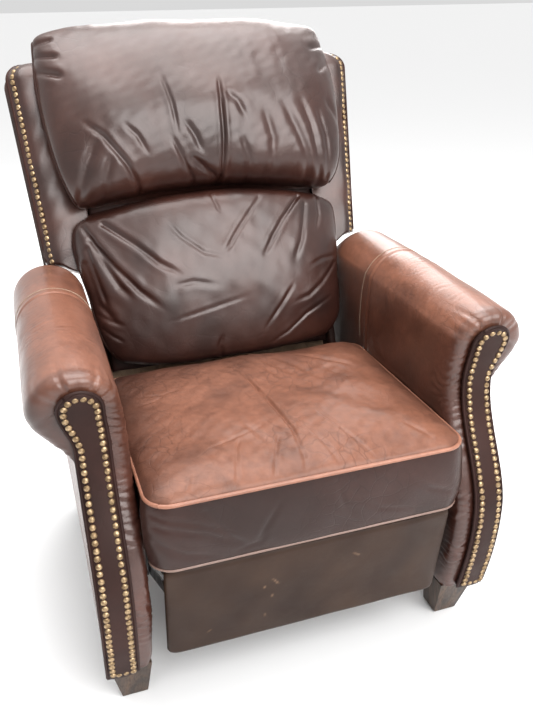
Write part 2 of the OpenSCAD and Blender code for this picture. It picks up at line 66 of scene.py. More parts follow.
# %% [markdown]
# ## Places and sizes
#
# The chair faces -Y and X = 0 is its middle. The back has its own upright frame: it starts at
# the recline hinge and leans by 20 degrees. A point there is given as (across, behind, up),
# and one function turns it into the chair's frame. The front facing follows an S-curve,
# which half the arm cover needs too, so its formula lives here.

# %% Driving sizes
RECLINE = next(j for j in frame["joints"] if j["name"] == "recline")
HINGE_Y, HINGE_Z = RECLINE["pos_m"][1:]
LEAN = math.radians(20)
ARM_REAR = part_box("arm_pad_right")[1][1]
FACING_LOW, ARCH_Z, ARCH_X, ARCH_R = 0.100, 0.595, 0.3485, 0.0335
STRIP_X, STRIP_HALF, STRIP_END = 0.337, 0.026, 0.520
FACING_MID, FACING_SWING = -0.388, 0.0385
BULGE_Z, WAIST_Z = 0.290, 0.520
NAIL_R = 0.0056
NAIL_STEP = 0.0122
NAIL_HIGH = 0.0036


def smooth(low, high, value):
    """Climbs from 0 at low to 1 at high with level ends: 3t^2 - 2t^3 on the clipped share t."""
    t = np.clip((value - low) / (high - low), 0.0, 1.0)
    return t * t * (3.0 - 2.0 * t)


def hump(value, centre, width):
    """Bell curve: e to the minus squared distance from the centre, in widths."""
    return np.exp(-(((value - centre) / width) ** 2))


def facing_y(z):
    """Front of the facing at height z: half cosines from a bulge low down to a waist under the roll."""
    low = FACING_MID - FACING_SWING * np.cos(np.pi * (BULGE_Z - z) / 0.430)
    mid = FACING_MID - FACING_SWING * np.cos(np.pi * (z - BULGE_Z) / (WAIST_Z - BULGE_Z))
    top = FACING_MID + FACING_SWING * np.cos(np.pi * (z - WAIST_Z) / 0.300)
    return np.where(z < BULGE_Z, low, np.where(z < WAIST_Z, mid, top))


def facing_middle(z):
    """Middle line of the facing: straight, then it leans outwards into the arch."""
    return STRIP_X + (ARCH_X - STRIP_X) * smooth(STRIP_END, ARCH_Z, z)


def facing_half(z, inset=0.0):
    """Half width of the facing at height z, less an inset: a strip, a swelling, then a round top."""
    strip = STRIP_HALF + (ARCH_R - STRIP_HALF) * smooth(STRIP_END, ARCH_Z, z)
    rise = np.clip((z - ARCH_Z) / (ARCH_R - inset), 0.0, 1.0)
    return np.where(z < ARCH_Z, strip - inset, (ARCH_R - inset) * np.sqrt(1.0 - rise**2))


def xyz(x, y, z):
    """Three arrays of coordinates, stretched to one shape and joined into points."""
    return np.stack(np.broadcast_arrays(x, y, z), axis=-1)


def in_back(points):
    """Turns points (across, behind, up) of the back's own frame into the chair's: leaned about the hinge."""
    across, behind, up = np.moveaxis(points, -1, 0)
    y = HINGE_Y + up * math.sin(LEAN) + behind * math.cos(LEAN)
    z = HINGE_Z + up * math.cos(LEAN) - behind * math.sin(LEAN)
    return xyz(across, y, z)


print("hinge at", round(HINGE_Y, 3), round(HINGE_Z, 3), "arms end at", round(ARM_REAR, 3))

# %% [markdown]
# ## Camera, floor and light
#
# The camera stands a little left of the chair's front, above the arm height and tipped down.
# It is built from three angles and a place, so that it needs no target. The light is that of
# a bright room: three soft panels, an even skylight and a pale surround.

# %% Camera
CAMERA_AT = (-0.395, -1.3884, 1.1317)
YAW, PITCH, ROLL = (math.radians(a) for a in (18.08, -24.51, -1.09))


def camera_axes(yaw, pitch, roll):
    """Right, up and back axes of a camera turned by yaw from +Y towards +X, tipped by pitch, then rolled."""
    ahead = np.array([math.sin(yaw) * math.cos(pitch), math.cos(yaw) * math.cos(pitch), math.sin(pitch)])
    level = np.array([math.cos(yaw), -math.sin(yaw), 0.0])
    above = np.cross(level, ahead)
    right = level * math.cos(roll) + above * math.sin(roll)
    up = above * math.cos(roll) - level * math.sin(roll)
    return np.stack([right, up, -ahead], axis=1)


camera_data = bpy.data.cameras.new("camera")
camera_data.lens = 38.84
camera = bpy.data.objects.new("camera", camera_data)
bpy.context.scene.collection.objects.link(camera)
pose = np.eye(4)
pose[:3, :3] = camera_axes(YAW, PITCH, ROLL)
pose[:3, 3] = CAMERA_AT
camera.matrix_world = Matrix(pose.tolist())
bpy.context.scene.camera = camera
print("camera at", CAMERA_AT)

# %% Floor and lights
PALE = (0.80, 0.80, 0.80, 1.0)
FAR = 400.0


PANELS = [
    ("ceiling_panel", (0.0, 0.3, 3.0), (0.0, 0.0, 0.5), 2.2, 75.0),
    ("front_panel", (1.0, -3.0, 2.8), (0.0, 0.0, 0.7), 3.0, 200.0),
    ("rear_panel", (1.3, 3.4, 2.4), (0.0, 0.0, 0.6), 2.4, 80.0),
]
floor_mesh = bpy.data.meshes.new("floor")
floor_mesh.from_pydata([(-FAR, -FAR, 0), (FAR, -FAR, 0), (FAR, FAR, 0), (-FAR, FAR, 0)], [], [(0, 1, 2, 3)])
floor = bpy.data.objects.new("floor", floor_mesh)
bpy.context.scene.collection.objects.link(floor)
floor_paint = bpy.data.materials.new("pale_floor")
floor_paint.use_nodes = True
floor_shader = floor_paint.node_tree.nodes["Principled BSDF"]
floor_shader.inputs["Base Color"].default_value = PALE
floor_shader.inputs["Roughness"].default_value = 0.9
floor_mesh.materials.append(floor_paint)

world = bpy.data.worlds.new("room")
bpy.context.scene.world = world
world.use_nodes = True
world.node_tree.nodes["Background"].inputs["Color"].default_value = (1.0, 1.0, 1.0, 1.0)
world.node_tree.nodes["Background"].inputs["Strength"].default_value = 0.70
for name, at, aim, size, power in PANELS:
    data = bpy.data.lights.new(name, "AREA")
    data.size = size
    data.energy = power
    light = bpy.data.objects.new(name, data)
    bpy.context.scene.collection.objects.link(light)
    light.rotation_euler = (Vector(at) - Vector(aim)).to_track_quat("Z", "Y").to_euler()
    light.location = at
sky_data = bpy.data.lights.new("even_skylight", "SUN")
sky_data.energy = 1.3
sky_data.angle = math.radians(100)
sky = bpy.data.objects.new("even_skylight", sky_data)
bpy.context.scene.collection.objects.link(sky)
bpy.context.scene.view_settings.view_transform = "Standard"
print("floor,", len(PANELS), "soft panels and an even skylight")

# %% [markdown]
# ## Helpers for surfaces
#
# Four helpers make nearly every piece. `skin` joins a stack of closed rings into a shell and
# closes both ends. `cord_round` carries a circle along a path, which is how a welt is made.
# `ripple` is a smooth random field made of sine waves from a seeded generator, the same on
# each run. `dress` says what a finished piece belongs to. A float attribute of wear and
# painted light goes with each leather piece: the finish reads it to turn the leather lighter
# where it is touched. Through it the finish also paints shade along the sides and rear of the seat,
# and a highlight strip on the front of each wing.

# %% Rings into a closed shell
def add_mesh(name, points, faces, material, wear_and_painted_light=None):
    """Puts vertices and faces into a new smooth-shaded object, with one value of wear and painted light per
    vertex.
    """
    mesh = bpy.data.meshes.new(name)
    mesh.from_pydata(np.asarray(points, float).tolist(), [], [list(f) for f in faces])
    if signed_volume(mesh) < 0.0:
        mesh.flip_normals()
    mesh.polygons.foreach_set("use_smooth", np.ones(len(mesh.polygons), bool))
    layer = mesh.attributes.new("wear_and_painted_light", "FLOAT", "POINT")
    values = np.zeros(len(points)) if wear_and_painted_light is None else np.asarray(wear_and_painted_light, float)
    layer.data.foreach_set("value", values.astype(np.float32))
    mesh.materials.append(material)
    piece = bpy.data.objects.new(name, mesh)
    bpy.context.scene.collection.objects.link(piece)
    return piece


def signed_volume(mesh):
    """Sum over triangles of a . (b x c) / 6, which is positive when the faces point outwards."""
    mesh.calc_loop_triangles()
    corners = np.empty(len(mesh.loop_triangles) * 3, np.int64)
    mesh.loop_triangles.foreach_get("vertices", corners)
    points = np.empty(len(mesh.vertices) * 3)
    mesh.vertices.foreach_get("co", points)
    a, b, c = points.reshape(-1, 3)[corners].reshape(-1, 3, 3).transpose(1, 0, 2)
    return float(np.einsum("ij,ij->", a, np.cross(b, c)) / 6.0)


def ring_faces(rings, around):
    """Quads between neighbouring rings, each ring closed on itself."""
    r, k = np.meshgrid(np.arange(rings - 1), np.arange(around), indexing="ij")
    a = r * around + k
    b = r * around + (k + 1) % around
    return np.stack([a, b, b + around, a + around], axis=-1).reshape(-1, 4)


def skin(name, rings, material, wear_and_painted_light=None):
    """Closed shell through rings[ring, point, xyz]; the first and last ring close on their middles."""
    count, around, _ = rings.shape
    points = np.concatenate([rings.reshape(-1, 3), rings[0].mean(0)[None], rings[-1].mean(0)[None]])
    low, high = count * around, count * around + 1
    k = np.arange(around)
    after = (k + 1) % around
    last = (count - 1) * around
    fans = [np.stack([np.full(around, low), after, k], axis=1),
            np.stack([np.full(around, high), last + k, last + after], axis=1)]
    faces = ring_faces(count, around).tolist() + fans[0].tolist() + fans[1].tolist()
    if wear_and_painted_light is not None:
        wear_and_painted_light = np.concatenate([wear_and_painted_light.reshape(-1), [wear_and_painted_light[0].mean(), wear_and_painted_light[-1].mean()]])
    return add_mesh(name, points, faces, material, wear_and_painted_light)


def unit(vectors):
    """Vectors of length one, the same way."""
    return vectors / np.maximum(np.linalg.norm(vectors, axis=-1, keepdims=True), 1e-12)


def normals_of(rings):
    """Outward unit normals of a ring grid: cross product of its differences, away from a ring's middle."""
    along = np.gradient(rings, axis=0)
    around = (np.roll(rings, -1, axis=1) - np.roll(rings, 1, axis=1)) / 2.0
    n = unit(np.cross(around, along))
    k = len(rings) // 2
    return n * np.sign((n[k] * (rings[k] - rings[k].mean(0))).sum())


def raised(rings, move):
    """The same grid with each point moved out along its normal."""
    return rings + normals_of(rings) * np.asarray(move)[..., None]


def dress(piece, body, replaced=()):
    """Says which body a piece rides on and the nodes it replaces."""
    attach(piece, body)
    if replaced:
        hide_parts(*replaced)
    print(piece.name, len(piece.data.polygons), "faces")


# %% Welts, closed curves and random fields
def tangents(path, closed):
    """Unit direction of travel at each point of a path."""
    return unit(np.roll(path, -1, axis=0) - np.roll(path, 1, axis=0) if closed else np.gradient(path, axis=0))


def cord_round(name, path, radius, material, closed=False, sides=10, wear_and_painted_light=0.0):
    """A round cord: circles of the given radius in the planes square to the path."""
    t = tangents(path, closed)
    guide = np.where(np.abs(t[:, :1]) < 0.8, [[1.0, 0.0, 0.0]], [[0.0, 0.0, 1.0]])
    u = unit(np.cross(t, guide))
    v = np.cross(t, u)
    a = np.linspace(0.0, 2.0 * np.pi, sides, endpoint=False)[None, :, None]
    rings = path[:, None] + radius * (np.cos(a) * u[:, None] + np.sin(a) * v[:, None])
    if not closed:
        return skin(name, rings, material, np.full(rings.shape[:2], wear_and_painted_light))
    count = len(path)
    wrapped = np.concatenate([rings, rings[:1]])
    faces = ring_faces(count + 1, sides) % (count * sides)
    return add_mesh(name, wrapped[:-1].reshape(-1, 3), faces, material, np.full(count * sides, wear_and_painted_light))


def even_path(points, step=None, closed=False, count=None):
    """The same path with points an even step apart, or a given count of them."""
    pts = np.concatenate([points, points[:1]]) if closed else points
    s = np.concatenate([[0.0], np.cumsum(np.linalg.norm(np.diff(pts, axis=0), axis=1))])
    count = count or max(2, int(round(s[-1] / step)))
    where = np.linspace(0.0, s[-1], count + 1)
    where = where[:-1] if closed else where
    return np.stack([np.interp(where, s, pts[:, k]) for k in range(pts.shape[1])], axis=1)


def rounded(points, count, closed=True):
    """Smooth curve through points: a Catmull-Rom spline, sampled evenly by its parameter."""
    p = np.asarray(points, float)
    n = len(p)
    t = np.linspace(0.0, n if closed else n - 1, count, endpoint=not closed)
    i = np.minimum(t.astype(int), n - 1 if closed else n - 2)
    f = (t - i)[:, None]
    pick = (lambda k: p[k % n]) if closed else (lambda k: p[np.clip(k, 0, n - 1)])
    a, b, c, d = pick(i - 1), pick(i), pick(i + 1), pick(i + 2)
    return 0.5 * (2 * b + (c - a) * f + (2 * a - 5 * b + 4 * c - d) * f**2 + (3 * b - a - 3 * c + d) * f**3)


def ripple(x, y, short, long, seed, waves=14):
    """Smooth random field, about -1 to 1: sine waves of random heading, length and phase, averaged."""
    rng = np.random.default_rng(seed)
    total = np.zeros(np.broadcast(x, y).shape)
    for _ in range(waves):
        heading, phase = rng.uniform(0.0, 2.0 * np.pi, 2)
        turns = 2.0 * np.pi / rng.uniform(short, long)
        total += np.sin(turns * (x * math.cos(heading) + y * math.sin(heading)) + phase)
    return total / math.sqrt(waves)


def line_distance(x, y, start, end):
    """Distance from a straight crease, and how far along it a point lies from 0 to 1."""
    dx, dy = end[0] - start[0], end[1] - start[1]
    s = np.clip(((x - start[0]) * dx + (y - start[1]) * dy) / (dx * dx + dy * dy), 0.0, 1.0)
    return np.hypot(x - start[0] - s * dx, y - start[1] - s * dy), s


def creases(x, y, lines):
    """Depth of a set of creases: valleys along polylines, with soft lips beside them.

    Each line is (points, width, depth, tail), in millimetres: tail is the share of depth left at its end.
    """
    depth = np.zeros(np.broadcast(x, y).shape)
    for points, width, deep, tail in lines:
        points = np.array(points) / 1000.0
        width, deep = width / 1000.0, deep / 1000.0
        nearest, along = np.full(depth.shape, np.inf), np.zeros(depth.shape)
        for k, (start, end) in enumerate(zip(points[:-1], points[1:])):
            far, s = line_distance(x, y, start, end)
            along = np.where(far < nearest, (k + s) / (len(points) - 1), along)
            nearest = np.minimum(nearest, far)
        fade = smooth(0.0, 0.35, along) * (1.0 - (1.0 - tail) * smooth(0.6, 1.0, along))
        lips = 0.22 * np.exp(-(((nearest - 2.4 * width) / (1.6 * width)) ** 2))
        depth += deep * fade * (np.exp(-((nearest / width) ** 2)) - lips)
    return depth


print("helpers ready")

# %% [markdown]
# ## Finishes
#
# The chair is aniline leather that has aged: the dye is uneven, the parts that people touch
# have gone from espresso to tan, and fine lines cross the surface. One function builds all
# the leathers from object coordinates: slow noise for the uneven dye, a warped cell pattern
# for the fine lines, and small cells for the grain. A float attribute of wear and painted light
# says where it is tan. Its low values paint shade along the seat's sides and rear, and its high
# values paint a highlight strip on each wing's front.
# Numbers that are the same all over the surface are set on the shader's own sockets.

# %% Node helpers
def start_material(name):
    """A new material with its node tree, its shader and object coordinates."""
    material = bpy.data.materials.new(name)
    material.use_nodes = True
    tree = material.node_tree
    place = tree.nodes.new("ShaderNodeTexCoord").outputs["Object"]
    return material, tree, tree.nodes["Principled BSDF"], place


def fill(tree, made, **inputs):
    """Links or sets the inputs of a node by name; an underscore stands for a space."""
    for key, value in inputs.items():
        socket = made.inputs[key.replace("_", " ")]
        if isinstance(value, bpy.types.NodeSocket):
            tree.links.new(value, socket)
        else:
            socket.default_value = value
    return made


def node(tree, kind, settings=None, **inputs):
    """Adds a node, sets its options, and fills its inputs."""
    made = tree.nodes.new(kind)
    for key, value in (settings or {}).items():
        setattr(made, key, value)
    return fill(tree, made, **inputs)


def noise(tree, place, scale, detail=4.0, distortion=0.0):
    """Soft noise, about 0 to 1."""
    made = node(tree, "ShaderNodeTexNoise", Vector=place, Scale=scale, Detail=detail, Distortion=distortion)
    return made.outputs["Fac"]


def spread(tree, value, low, high, to_low=0.0, to_high=1.0):
    """Stretches a range of values onto another, clamped at both ends."""
    made = node(tree, "ShaderNodeMapRange", {"clamp": True}, Value=value, From_Min=low, From_Max=high,
                To_Min=to_low, To_Max=to_high)
    return made.outputs["Result"]


def edges(tree, place, scale):
    """Distance to the nearest border in a pattern of random cells."""
    made = node(tree, "ShaderNodeTexVoronoi", {"feature": "DISTANCE_TO_EDGE"}, Vector=place, Scale=scale)
    return made.outputs["Distance"]


def mix(tree, share, first, second, way="MIX"):
    """Mixes two colours by a share."""
    made = node(tree, "ShaderNodeMixRGB", {"blend_type": way}, Fac=share, Color1=first, Color2=second)
    return made.outputs["Color"]


def maths(tree, way, first, second):
    """One sum on two values."""
    made = tree.nodes.new("ShaderNodeMath")
    made.operation = way
    for socket, value in zip(made.inputs, (first, second)):
        if isinstance(value, bpy.types.NodeSocket):
            tree.links.new(value, socket)
        else:
            socket.default_value = value
    return made.outputs["Value"]


def bump(tree, height, depth, strength, below=None):
    """Turns a height in 0 to 1 into relief of a real depth in metres, on top of another relief."""
    under = {} if below is None else {"Normal": below}
    made = node(tree, "ShaderNodeBump", Height=height, Distance=depth, Strength=strength, **under)
    return made.outputs["Normal"]


def colour(r, g, b):
    """An opaque colour."""
    return (r, g, b, 1.0)


# %% Leathers
WARM = colour(1.0, 0.88, 0.84)


def leather(name, dark, middle, worn, rough=0.40, lines=1.0, cell=34.0, shine=0.45,
            glint=0.40):
    """Aged leather: uneven dye, tan where the attribute of wear and painted light is high, with fine lines
    and grain.

    Shine is the weight of the clear coat over it, and glint the strength of its own reflections.
    """
    material, tree, shader, place = start_material(name)
    dye = spread(tree, noise(tree, place, 5.0, 5.0, 0.8), 0.34, 0.66)
    cloud = noise(tree, place, 24.0, 6.0, 0.4)
    # The attribute read here brings real wear. On the seat it also brings painted shade, and on the wings a
    # painted highlight.
    wear_and_painted_light_node = tree.nodes.new("ShaderNodeAttribute")
    wear_and_painted_light_node.attribute_name = "wear_and_painted_light"
    patchy = maths(tree, "MULTIPLY", wear_and_painted_light_node.outputs["Fac"], spread(tree, cloud, 0.25, 0.75, 0.72, 1.25))
    tint = mix(tree, dye, dark, middle)
    tint = mix(tree, spread(tree, patchy, 0.0, 1.0), tint, worn)
    tint = mix(tree, spread(tree, noise(tree, place, 90.0, 3.0), 0.3, 0.7, 0.0, 0.22), tint, dark)
    warp = node(tree, "ShaderNodeTexNoise", Vector=place, Scale=9.0, Detail=3.0).outputs["Color"]
    bent = mix(tree, 0.045, place, warp, "LINEAR_LIGHT")
    crack = spread(tree, edges(tree, bent, cell), 0.0, 0.055)
    faint = spread(tree, noise(tree, place, 7.0, 2.0), 0.42, 0.62)
    shown = maths(tree, "SUBTRACT", 1.0, maths(tree, "MULTIPLY", maths(tree, "SUBTRACT", 1.0, crack), faint))
    tint = mix(tree, maths(tree, "MULTIPLY", maths(tree, "SUBTRACT", 1.0, shown), 0.35 * lines), tint, dark)
    gloss = spread(tree, cloud, 0.3, 0.7, rough - 0.06, rough + 0.08)
    relief = bump(tree, shown, 0.0011, 0.40 * lines)
    relief = bump(tree, noise(tree, place, 46.0, 4.0, 0.6), 0.0013, 0.22, relief)
    grain = spread(tree, edges(tree, place, 620.0), 0.0, 0.25)
    fill(tree, shader, Base_Color=tint, Roughness=gloss, Normal=bump(tree, grain, 0.00022, 0.45, relief),
         Coat_Weight=shine, Coat_Roughness=0.26, Specular_IOR_Level=glint, Specular_Tint=WARM, Coat_Tint=WARM)
    return material


ESPRESSO = colour(0.013, 0.0060, 0.0052)
COFFEE = colour(0.032, 0.013, 0.0105)
CHESTNUT = colour(0.072, 0.025, 0.016)
TAN = colour(0.225, 0.098, 0.060)
CARAMEL = colour(0.40, 0.185, 0.115)
seat_leather = leather("leather_seat_worn_and_shaded", ESPRESSO, COFFEE, colour(0.195, 0.082, 0.050),
                       rough=0.36, lines=0.9, shine=0.22, glint=0.20)
arm_leather = leather("leather_worn_arm", ESPRESSO, CHESTNUT, TAN, rough=0.34, lines=0.7, cell=48.0,
                      shine=0.62)
back_leather = leather("leather_back", ESPRESSO, COFFEE, CHESTNUT, rough=0.34, lines=0.6, cell=22.0,
                       shine=0.62)
dark_leather = leather("leather_dark", ESPRESSO, COFFEE, CHESTNUT, rough=0.48, lines=0.3, shine=0.03,
                       glint=0.16)
olive_leather = leather("leather_footrest", colour(0.019, 0.0095, 0.0062), colour(0.030, 0.0155, 0.0098),
                        colour(0.20, 0.12, 0.075), rough=0.46, lines=0.15, shine=0.04, glint=0.18)
welt_leather = leather("leather_welt", CHESTNUT, TAN, CARAMEL, rough=0.45, lines=0.2)
pale_welt = leather("leather_pale_welt", colour(0.13, 0.09, 0.075), colour(0.20, 0.15, 0.13), CARAMEL,
                    rough=0.45, lines=0.2)
print("leathers ready")


# %% [markdown]
# Nails, wood, steel, webbing and nylon each get a short material of their own. Antique brass
# is metal with a dark film left in its hollows. Stained wood is noise drawn out along the
# grain. Woven cloth is two sets of stripes, one over the other.

# %% Metals, wood, cloth and nylon
def antique_brass():
    """Brass with patches of dark film and slight pitting."""
    material, tree, shader, place = start_material("antique_brass")
    film = spread(tree, noise(tree, place, 160.0, 4.0), 0.38, 0.62)
    tint = mix(tree, film, colour(0.43, 0.31, 0.185), colour(0.20, 0.135, 0.075))
    fill(tree, shader, Base_Color=tint, Roughness=spread(tree, film, 0.0, 1.0, 0.36, 0.56), Metallic=1.0,
         Normal=bump(tree, noise(tree, place, 900.0, 2.0), 0.0002, 0.3))
    return material


def wood(name, dark, light, rough, across=26.0, along=2.2):
    """Timber with its grain along Z: noise stretched ten times, with darker pores."""
    material, tree, shader, place = start_material(name)
    stretched = node(tree, "ShaderNodeMapping", Vector=place, Scale=(across, across, along)).outputs["Vector"]
    rings = noise(tree, stretched, 1.6, 6.0, 1.4)
    pores = noise(tree, stretched, 14.0, 3.0)
    tint = mix(tree, spread(tree, rings, 0.35, 0.65), dark, light)
    fill(tree, shader, Base_Color=mix(tree, spread(tree, pores, 0.52, 0.70, 0.0, 0.6), tint, dark),
         Roughness=spread(tree, pores, 0.3, 0.7, rough, rough + 0.15), Normal=bump(tree, pores, 0.0004, 0.4))
    return material


def metal(name, tint, rough, metallic):
    """Plated or painted steel with faint blotches and a slightly uneven gloss."""
    material, tree, shader, place = start_material(name)
    blotch = noise(tree, place, 40.0, 5.0)
    darker = tuple(0.6 * c for c in tint[:3]) + (1.0,)
    fill(tree, shader, Base_Color=mix(tree, spread(tree, blotch, 0.35, 0.7), tint, darker), Metallic=metallic,
         Roughness=spread(tree, blotch, 0.3, 0.7, rough - 0.08, rough + 0.10),
         Normal=bump(tree, noise(tree, place, 500.0, 2.0), 0.0001, 0.25))
    return material


def cloth(name, tint, threads):
    """Plain weave: two crossing sets of stripes in relief, with slubs in the colour."""
    material, tree, shader, place = start_material(name)
    warp, weft = (node(tree, "ShaderNodeTexWave", {"bands_direction": way}, Vector=place, Scale=threads,
                       Distortion=0.6).outputs["Fac"] for way in "XZ")
    darker = tuple(0.7 * c for c in tint[:3]) + (1.0,)
    slub = spread(tree, noise(tree, place, 70.0, 4.0), 0.3, 0.7)
    fill(tree, shader, Base_Color=mix(tree, slub, tint, darker), Roughness=0.9,
         Normal=bump(tree, maths(tree, "MULTIPLY", warp, weft), 0.0006, 0.5))
    return material


brass = antique_brass()
stained_wood = wood("stained_wood", colour(0.020, 0.011, 0.007), colour(0.085, 0.045, 0.024), 0.38)
timber = wood("timber", colour(0.13, 0.075, 0.040), colour(0.24, 0.15, 0.085), 0.62)
zinc = metal("zinc_steel", colour(0.52, 0.53, 0.55), 0.36, 1.0)
black_steel = metal("black_steel", colour(0.035, 0.035, 0.038), 0.42, 0.4)
canvas = cloth("canvas", colour(0.42, 0.38, 0.32), 320.0)
nylon = metal("nylon", colour(0.03, 0.03, 0.032), 0.50, 0.0)
thread = cloth("thread", colour(0.50, 0.40, 0.30), 900.0)
dust_cloth = cloth("dust_cloth", colour(0.030, 0.026, 0.024), 320.0)
CAD_FINISH = {
    timber: "arm_frame_left arm_frame_right rear_rail cross_rail seat_frame back_frame footrest_board",
    zinc: "leg_bolts base_pivots frame_screws rear_swing_links front_swing_links seat_springs seat_pivots"
          " torque_tube footrest_screws back_screws",
    black_steel: "base_plate_left base_plate_right seat_plate_left seat_plate_right rear_links front_links"
                 " long_links short_links footrest_brackets back_bracket_left back_bracket_right",
    canvas: "back_webbing",
    dust_cloth: "seat_deck",
    stained_wood: "front_leg_left front_leg_right rear_leg_left rear_leg_right",
    nylon: "leg_glides guide_rollers",
}
for finish, names in CAD_FINISH.items():
    for name in names.split():
        part = frame["nodes"][name]
        part.data.materials.clear()
        part.data.materials.append(finish)
print("finished", sum(len(names.split()) for names in CAD_FINISH.values()), "frame parts")

# %% [markdown]
# ## The arms
#
# One hide wraps each arm: up the inner face, over the roll, under it, and down the outside.
# At the front it rounds over and is pleated in round the facing. So the shape is a closed
# section in X and Z, carried from the front to the rear, with its last stretch drawn in onto
# the facing's outline. Pleats, gathers, the cross seam and the fine crosswise wrinkles then
# move the surface along its own normals.

# %% The section of an arm and the line it is drawn in to
ROLL_X, ROLL_Z, ROLL_HALF = 0.356, 0.590, 0.0715
CREST_FRONT, CREST_TOP, ROLL_FOOT = 0.652, 0.664, 0.520
ARM_POINTS = 330
FALL_Y = 0.150


def arm_section():
    """Closed outline (x, z) of the right arm: inner face, roll as an ellipse, underside, outside, bottom."""
    turn = np.radians(np.arange(170, -41, -15))
    lift = np.where(np.sin(turn) > 0, CREST_TOP - ROLL_Z, 0.066)
    roll = np.stack([ROLL_X + ROLL_HALF * np.cos(turn), ROLL_Z + lift * np.sin(turn)], axis=1)
    inner = [(0.286, 0.096), (0.2805, 0.16), (0.278, 0.33), (0.279, 0.44), (0.281, 0.53)]
    outer = [(0.386, 0.520), (0.3705, 0.503), (0.3645, 0.472), (0.3635, 0.36), (0.3635, 0.20), (0.362, 0.112),
             (0.352, 0.096), (0.318, 0.095)]
    return even_path(rounded(np.concatenate([inner, roll, outer]), 1600), closed=True, count=ARM_POINTS)


def crest(y):
    """Height of the arm along its length: it climbs from the front, then rounds off at the rear."""
    climb = CREST_FRONT + (CREST_TOP - CREST_FRONT) * np.sin(np.clip((y + 0.33) / 0.33, 0, 1) * np.pi / 2)
    fall = 0.118 * (1.0 - np.cos(np.clip((y - FALL_Y) / (ARM_REAR - FALL_Y), 0, 1) * np.pi / 2))
    return climb - fall


def drawn_in_to(x, z):
    """The point of the facing's outline that each point of the section is gathered to."""
    angle = np.arctan2(z - ARCH_Z, x - ARCH_X)
    arch = np.stack([ARCH_X + ARCH_R * np.cos(angle), ARCH_Z + ARCH_R * np.sin(angle)], axis=-1)
    low_z = np.clip(z, FACING_LOW, ARCH_Z)
    edge = facing_middle(low_z) + np.sign(x - facing_middle(low_z)) * facing_half(low_z)
    low_x = np.where(z < FACING_LOW, np.clip(x, STRIP_X - STRIP_HALF, STRIP_X + STRIP_HALF), edge)
    low = np.stack([low_x, low_z], axis=-1)
    blend = smooth(0.545, ARCH_Z, z)[..., None]
    return low * (1.0 - blend) + arch * blend


# %% The arm cover as one grid
SEAM_Y = -0.015
NOSE_RINGS, LENGTH_RINGS, NOSE_POWER = 26, 170, 0.62
CAP_Y = -0.336
NOSE_LEAST, NOSE_MOST = 0.010, 0.042
INSIDE_ARM = np.array([0.322, 0.0, 0.33])
POST_FACE = 0.3600
GATHER_STEP, WRINKLE_STEP = 0.0125, 0.0105
RELIEF_SEED = {"left": 5, "right": 11}
PLEATS = [(122, 5.2, 3.6), (66, 4.8, 3.6), (162, 3.4, 5), (20, 3.4, 6), (-14, 3.6, 6), (92, 1.0, 5),
          (142, 1.7, 5), (42, 2.0, 5), (-38, 2.6, 6), (185, 2.8, 6)]


def arm_grid():
    """Rings of the right arm cover, front to rear, with the distance of each point from the facing."""
    section = arm_section()
    x, z = section[:, 0], section[:, 1]
    squeeze = (CREST_FRONT - ROLL_FOOT) / (CREST_TOP - ROLL_FOOT)
    front_z = np.where(z > ROLL_FOOT, ROLL_FOOT + (z - ROLL_FOOT) * squeeze, z)
    target = drawn_in_to(x, front_z)
    gap = np.hypot(target[:, 0] - x, target[:, 1] - front_z)
    end_y = facing_y(target[:, 1]) + 0.011
    start_y = end_y + np.clip(NOSE_LEAST + 0.75 * gap, NOSE_LEAST, NOSE_MOST)
    turn = np.linspace(1.0, 0.0, NOSE_RINGS, endpoint=False)[:, None] * np.pi / 2
    pull = 1.0 - np.cos(turn) ** NOSE_POWER
    nose = xyz(x + (target[:, 0] - x) * pull, start_y - (start_y - end_y) * np.sin(turn) ** NOSE_POWER,
               front_z + (target[:, 1] - front_z) * pull)
    t = np.linspace(0.0, 1.0, LENGTH_RINGS)[:, None]
    y = start_y + (ARM_REAR - start_y) * t
    share = (crest(y) - ROLL_FOOT) / (CREST_TOP - ROLL_FOOT)
    high = np.where(z > ROLL_FOOT, ROLL_FOOT + (z - ROLL_FOOT) * share, z)
    body = xyz(x, y, high)
    tuck = 0.018 * smooth(ARM_REAR - 0.012, ARM_REAR, y)[..., None]
    body += (INSIDE_ARM - body) * [1.0, 0.0, 1.0] * tuck
    core_z = np.clip(target[:, 1], 0.115, 0.585)
    core = xyz(facing_middle(core_z), end_y + 0.003, core_z)
    tucked = core + (nose[0] - core) * [0.75, 0.0, 0.75]
    hidden = core * [1.0, 0.0, 1.0] + (nose[0] - core) * [0.5, 0.0, 0.5] + [0.0, CAP_Y, 0.0]
    nose = np.concatenate([hidden[None], tucked[None], nose])
    flange = body[-1:].copy()
    flange[..., 0] = np.minimum(flange[..., 0] - 0.0078 * smooth(0.290, 0.280, flange[..., 0]), POST_FACE)
    flange = np.concatenate([flange + [0.0, 0.0004, 0.0], flange + [0.0, 0.0038, 0.0]])
    rings = np.concatenate([nose, body, flange])
    near = gap * np.cos(turn) ** NOSE_POWER * 0.9
    along = gap * 0.9 + (y - start_y)
    from_facing = np.concatenate([near[:1], near[:1], near, along, along[-1:], along[-1:]])
    return rings, from_facing


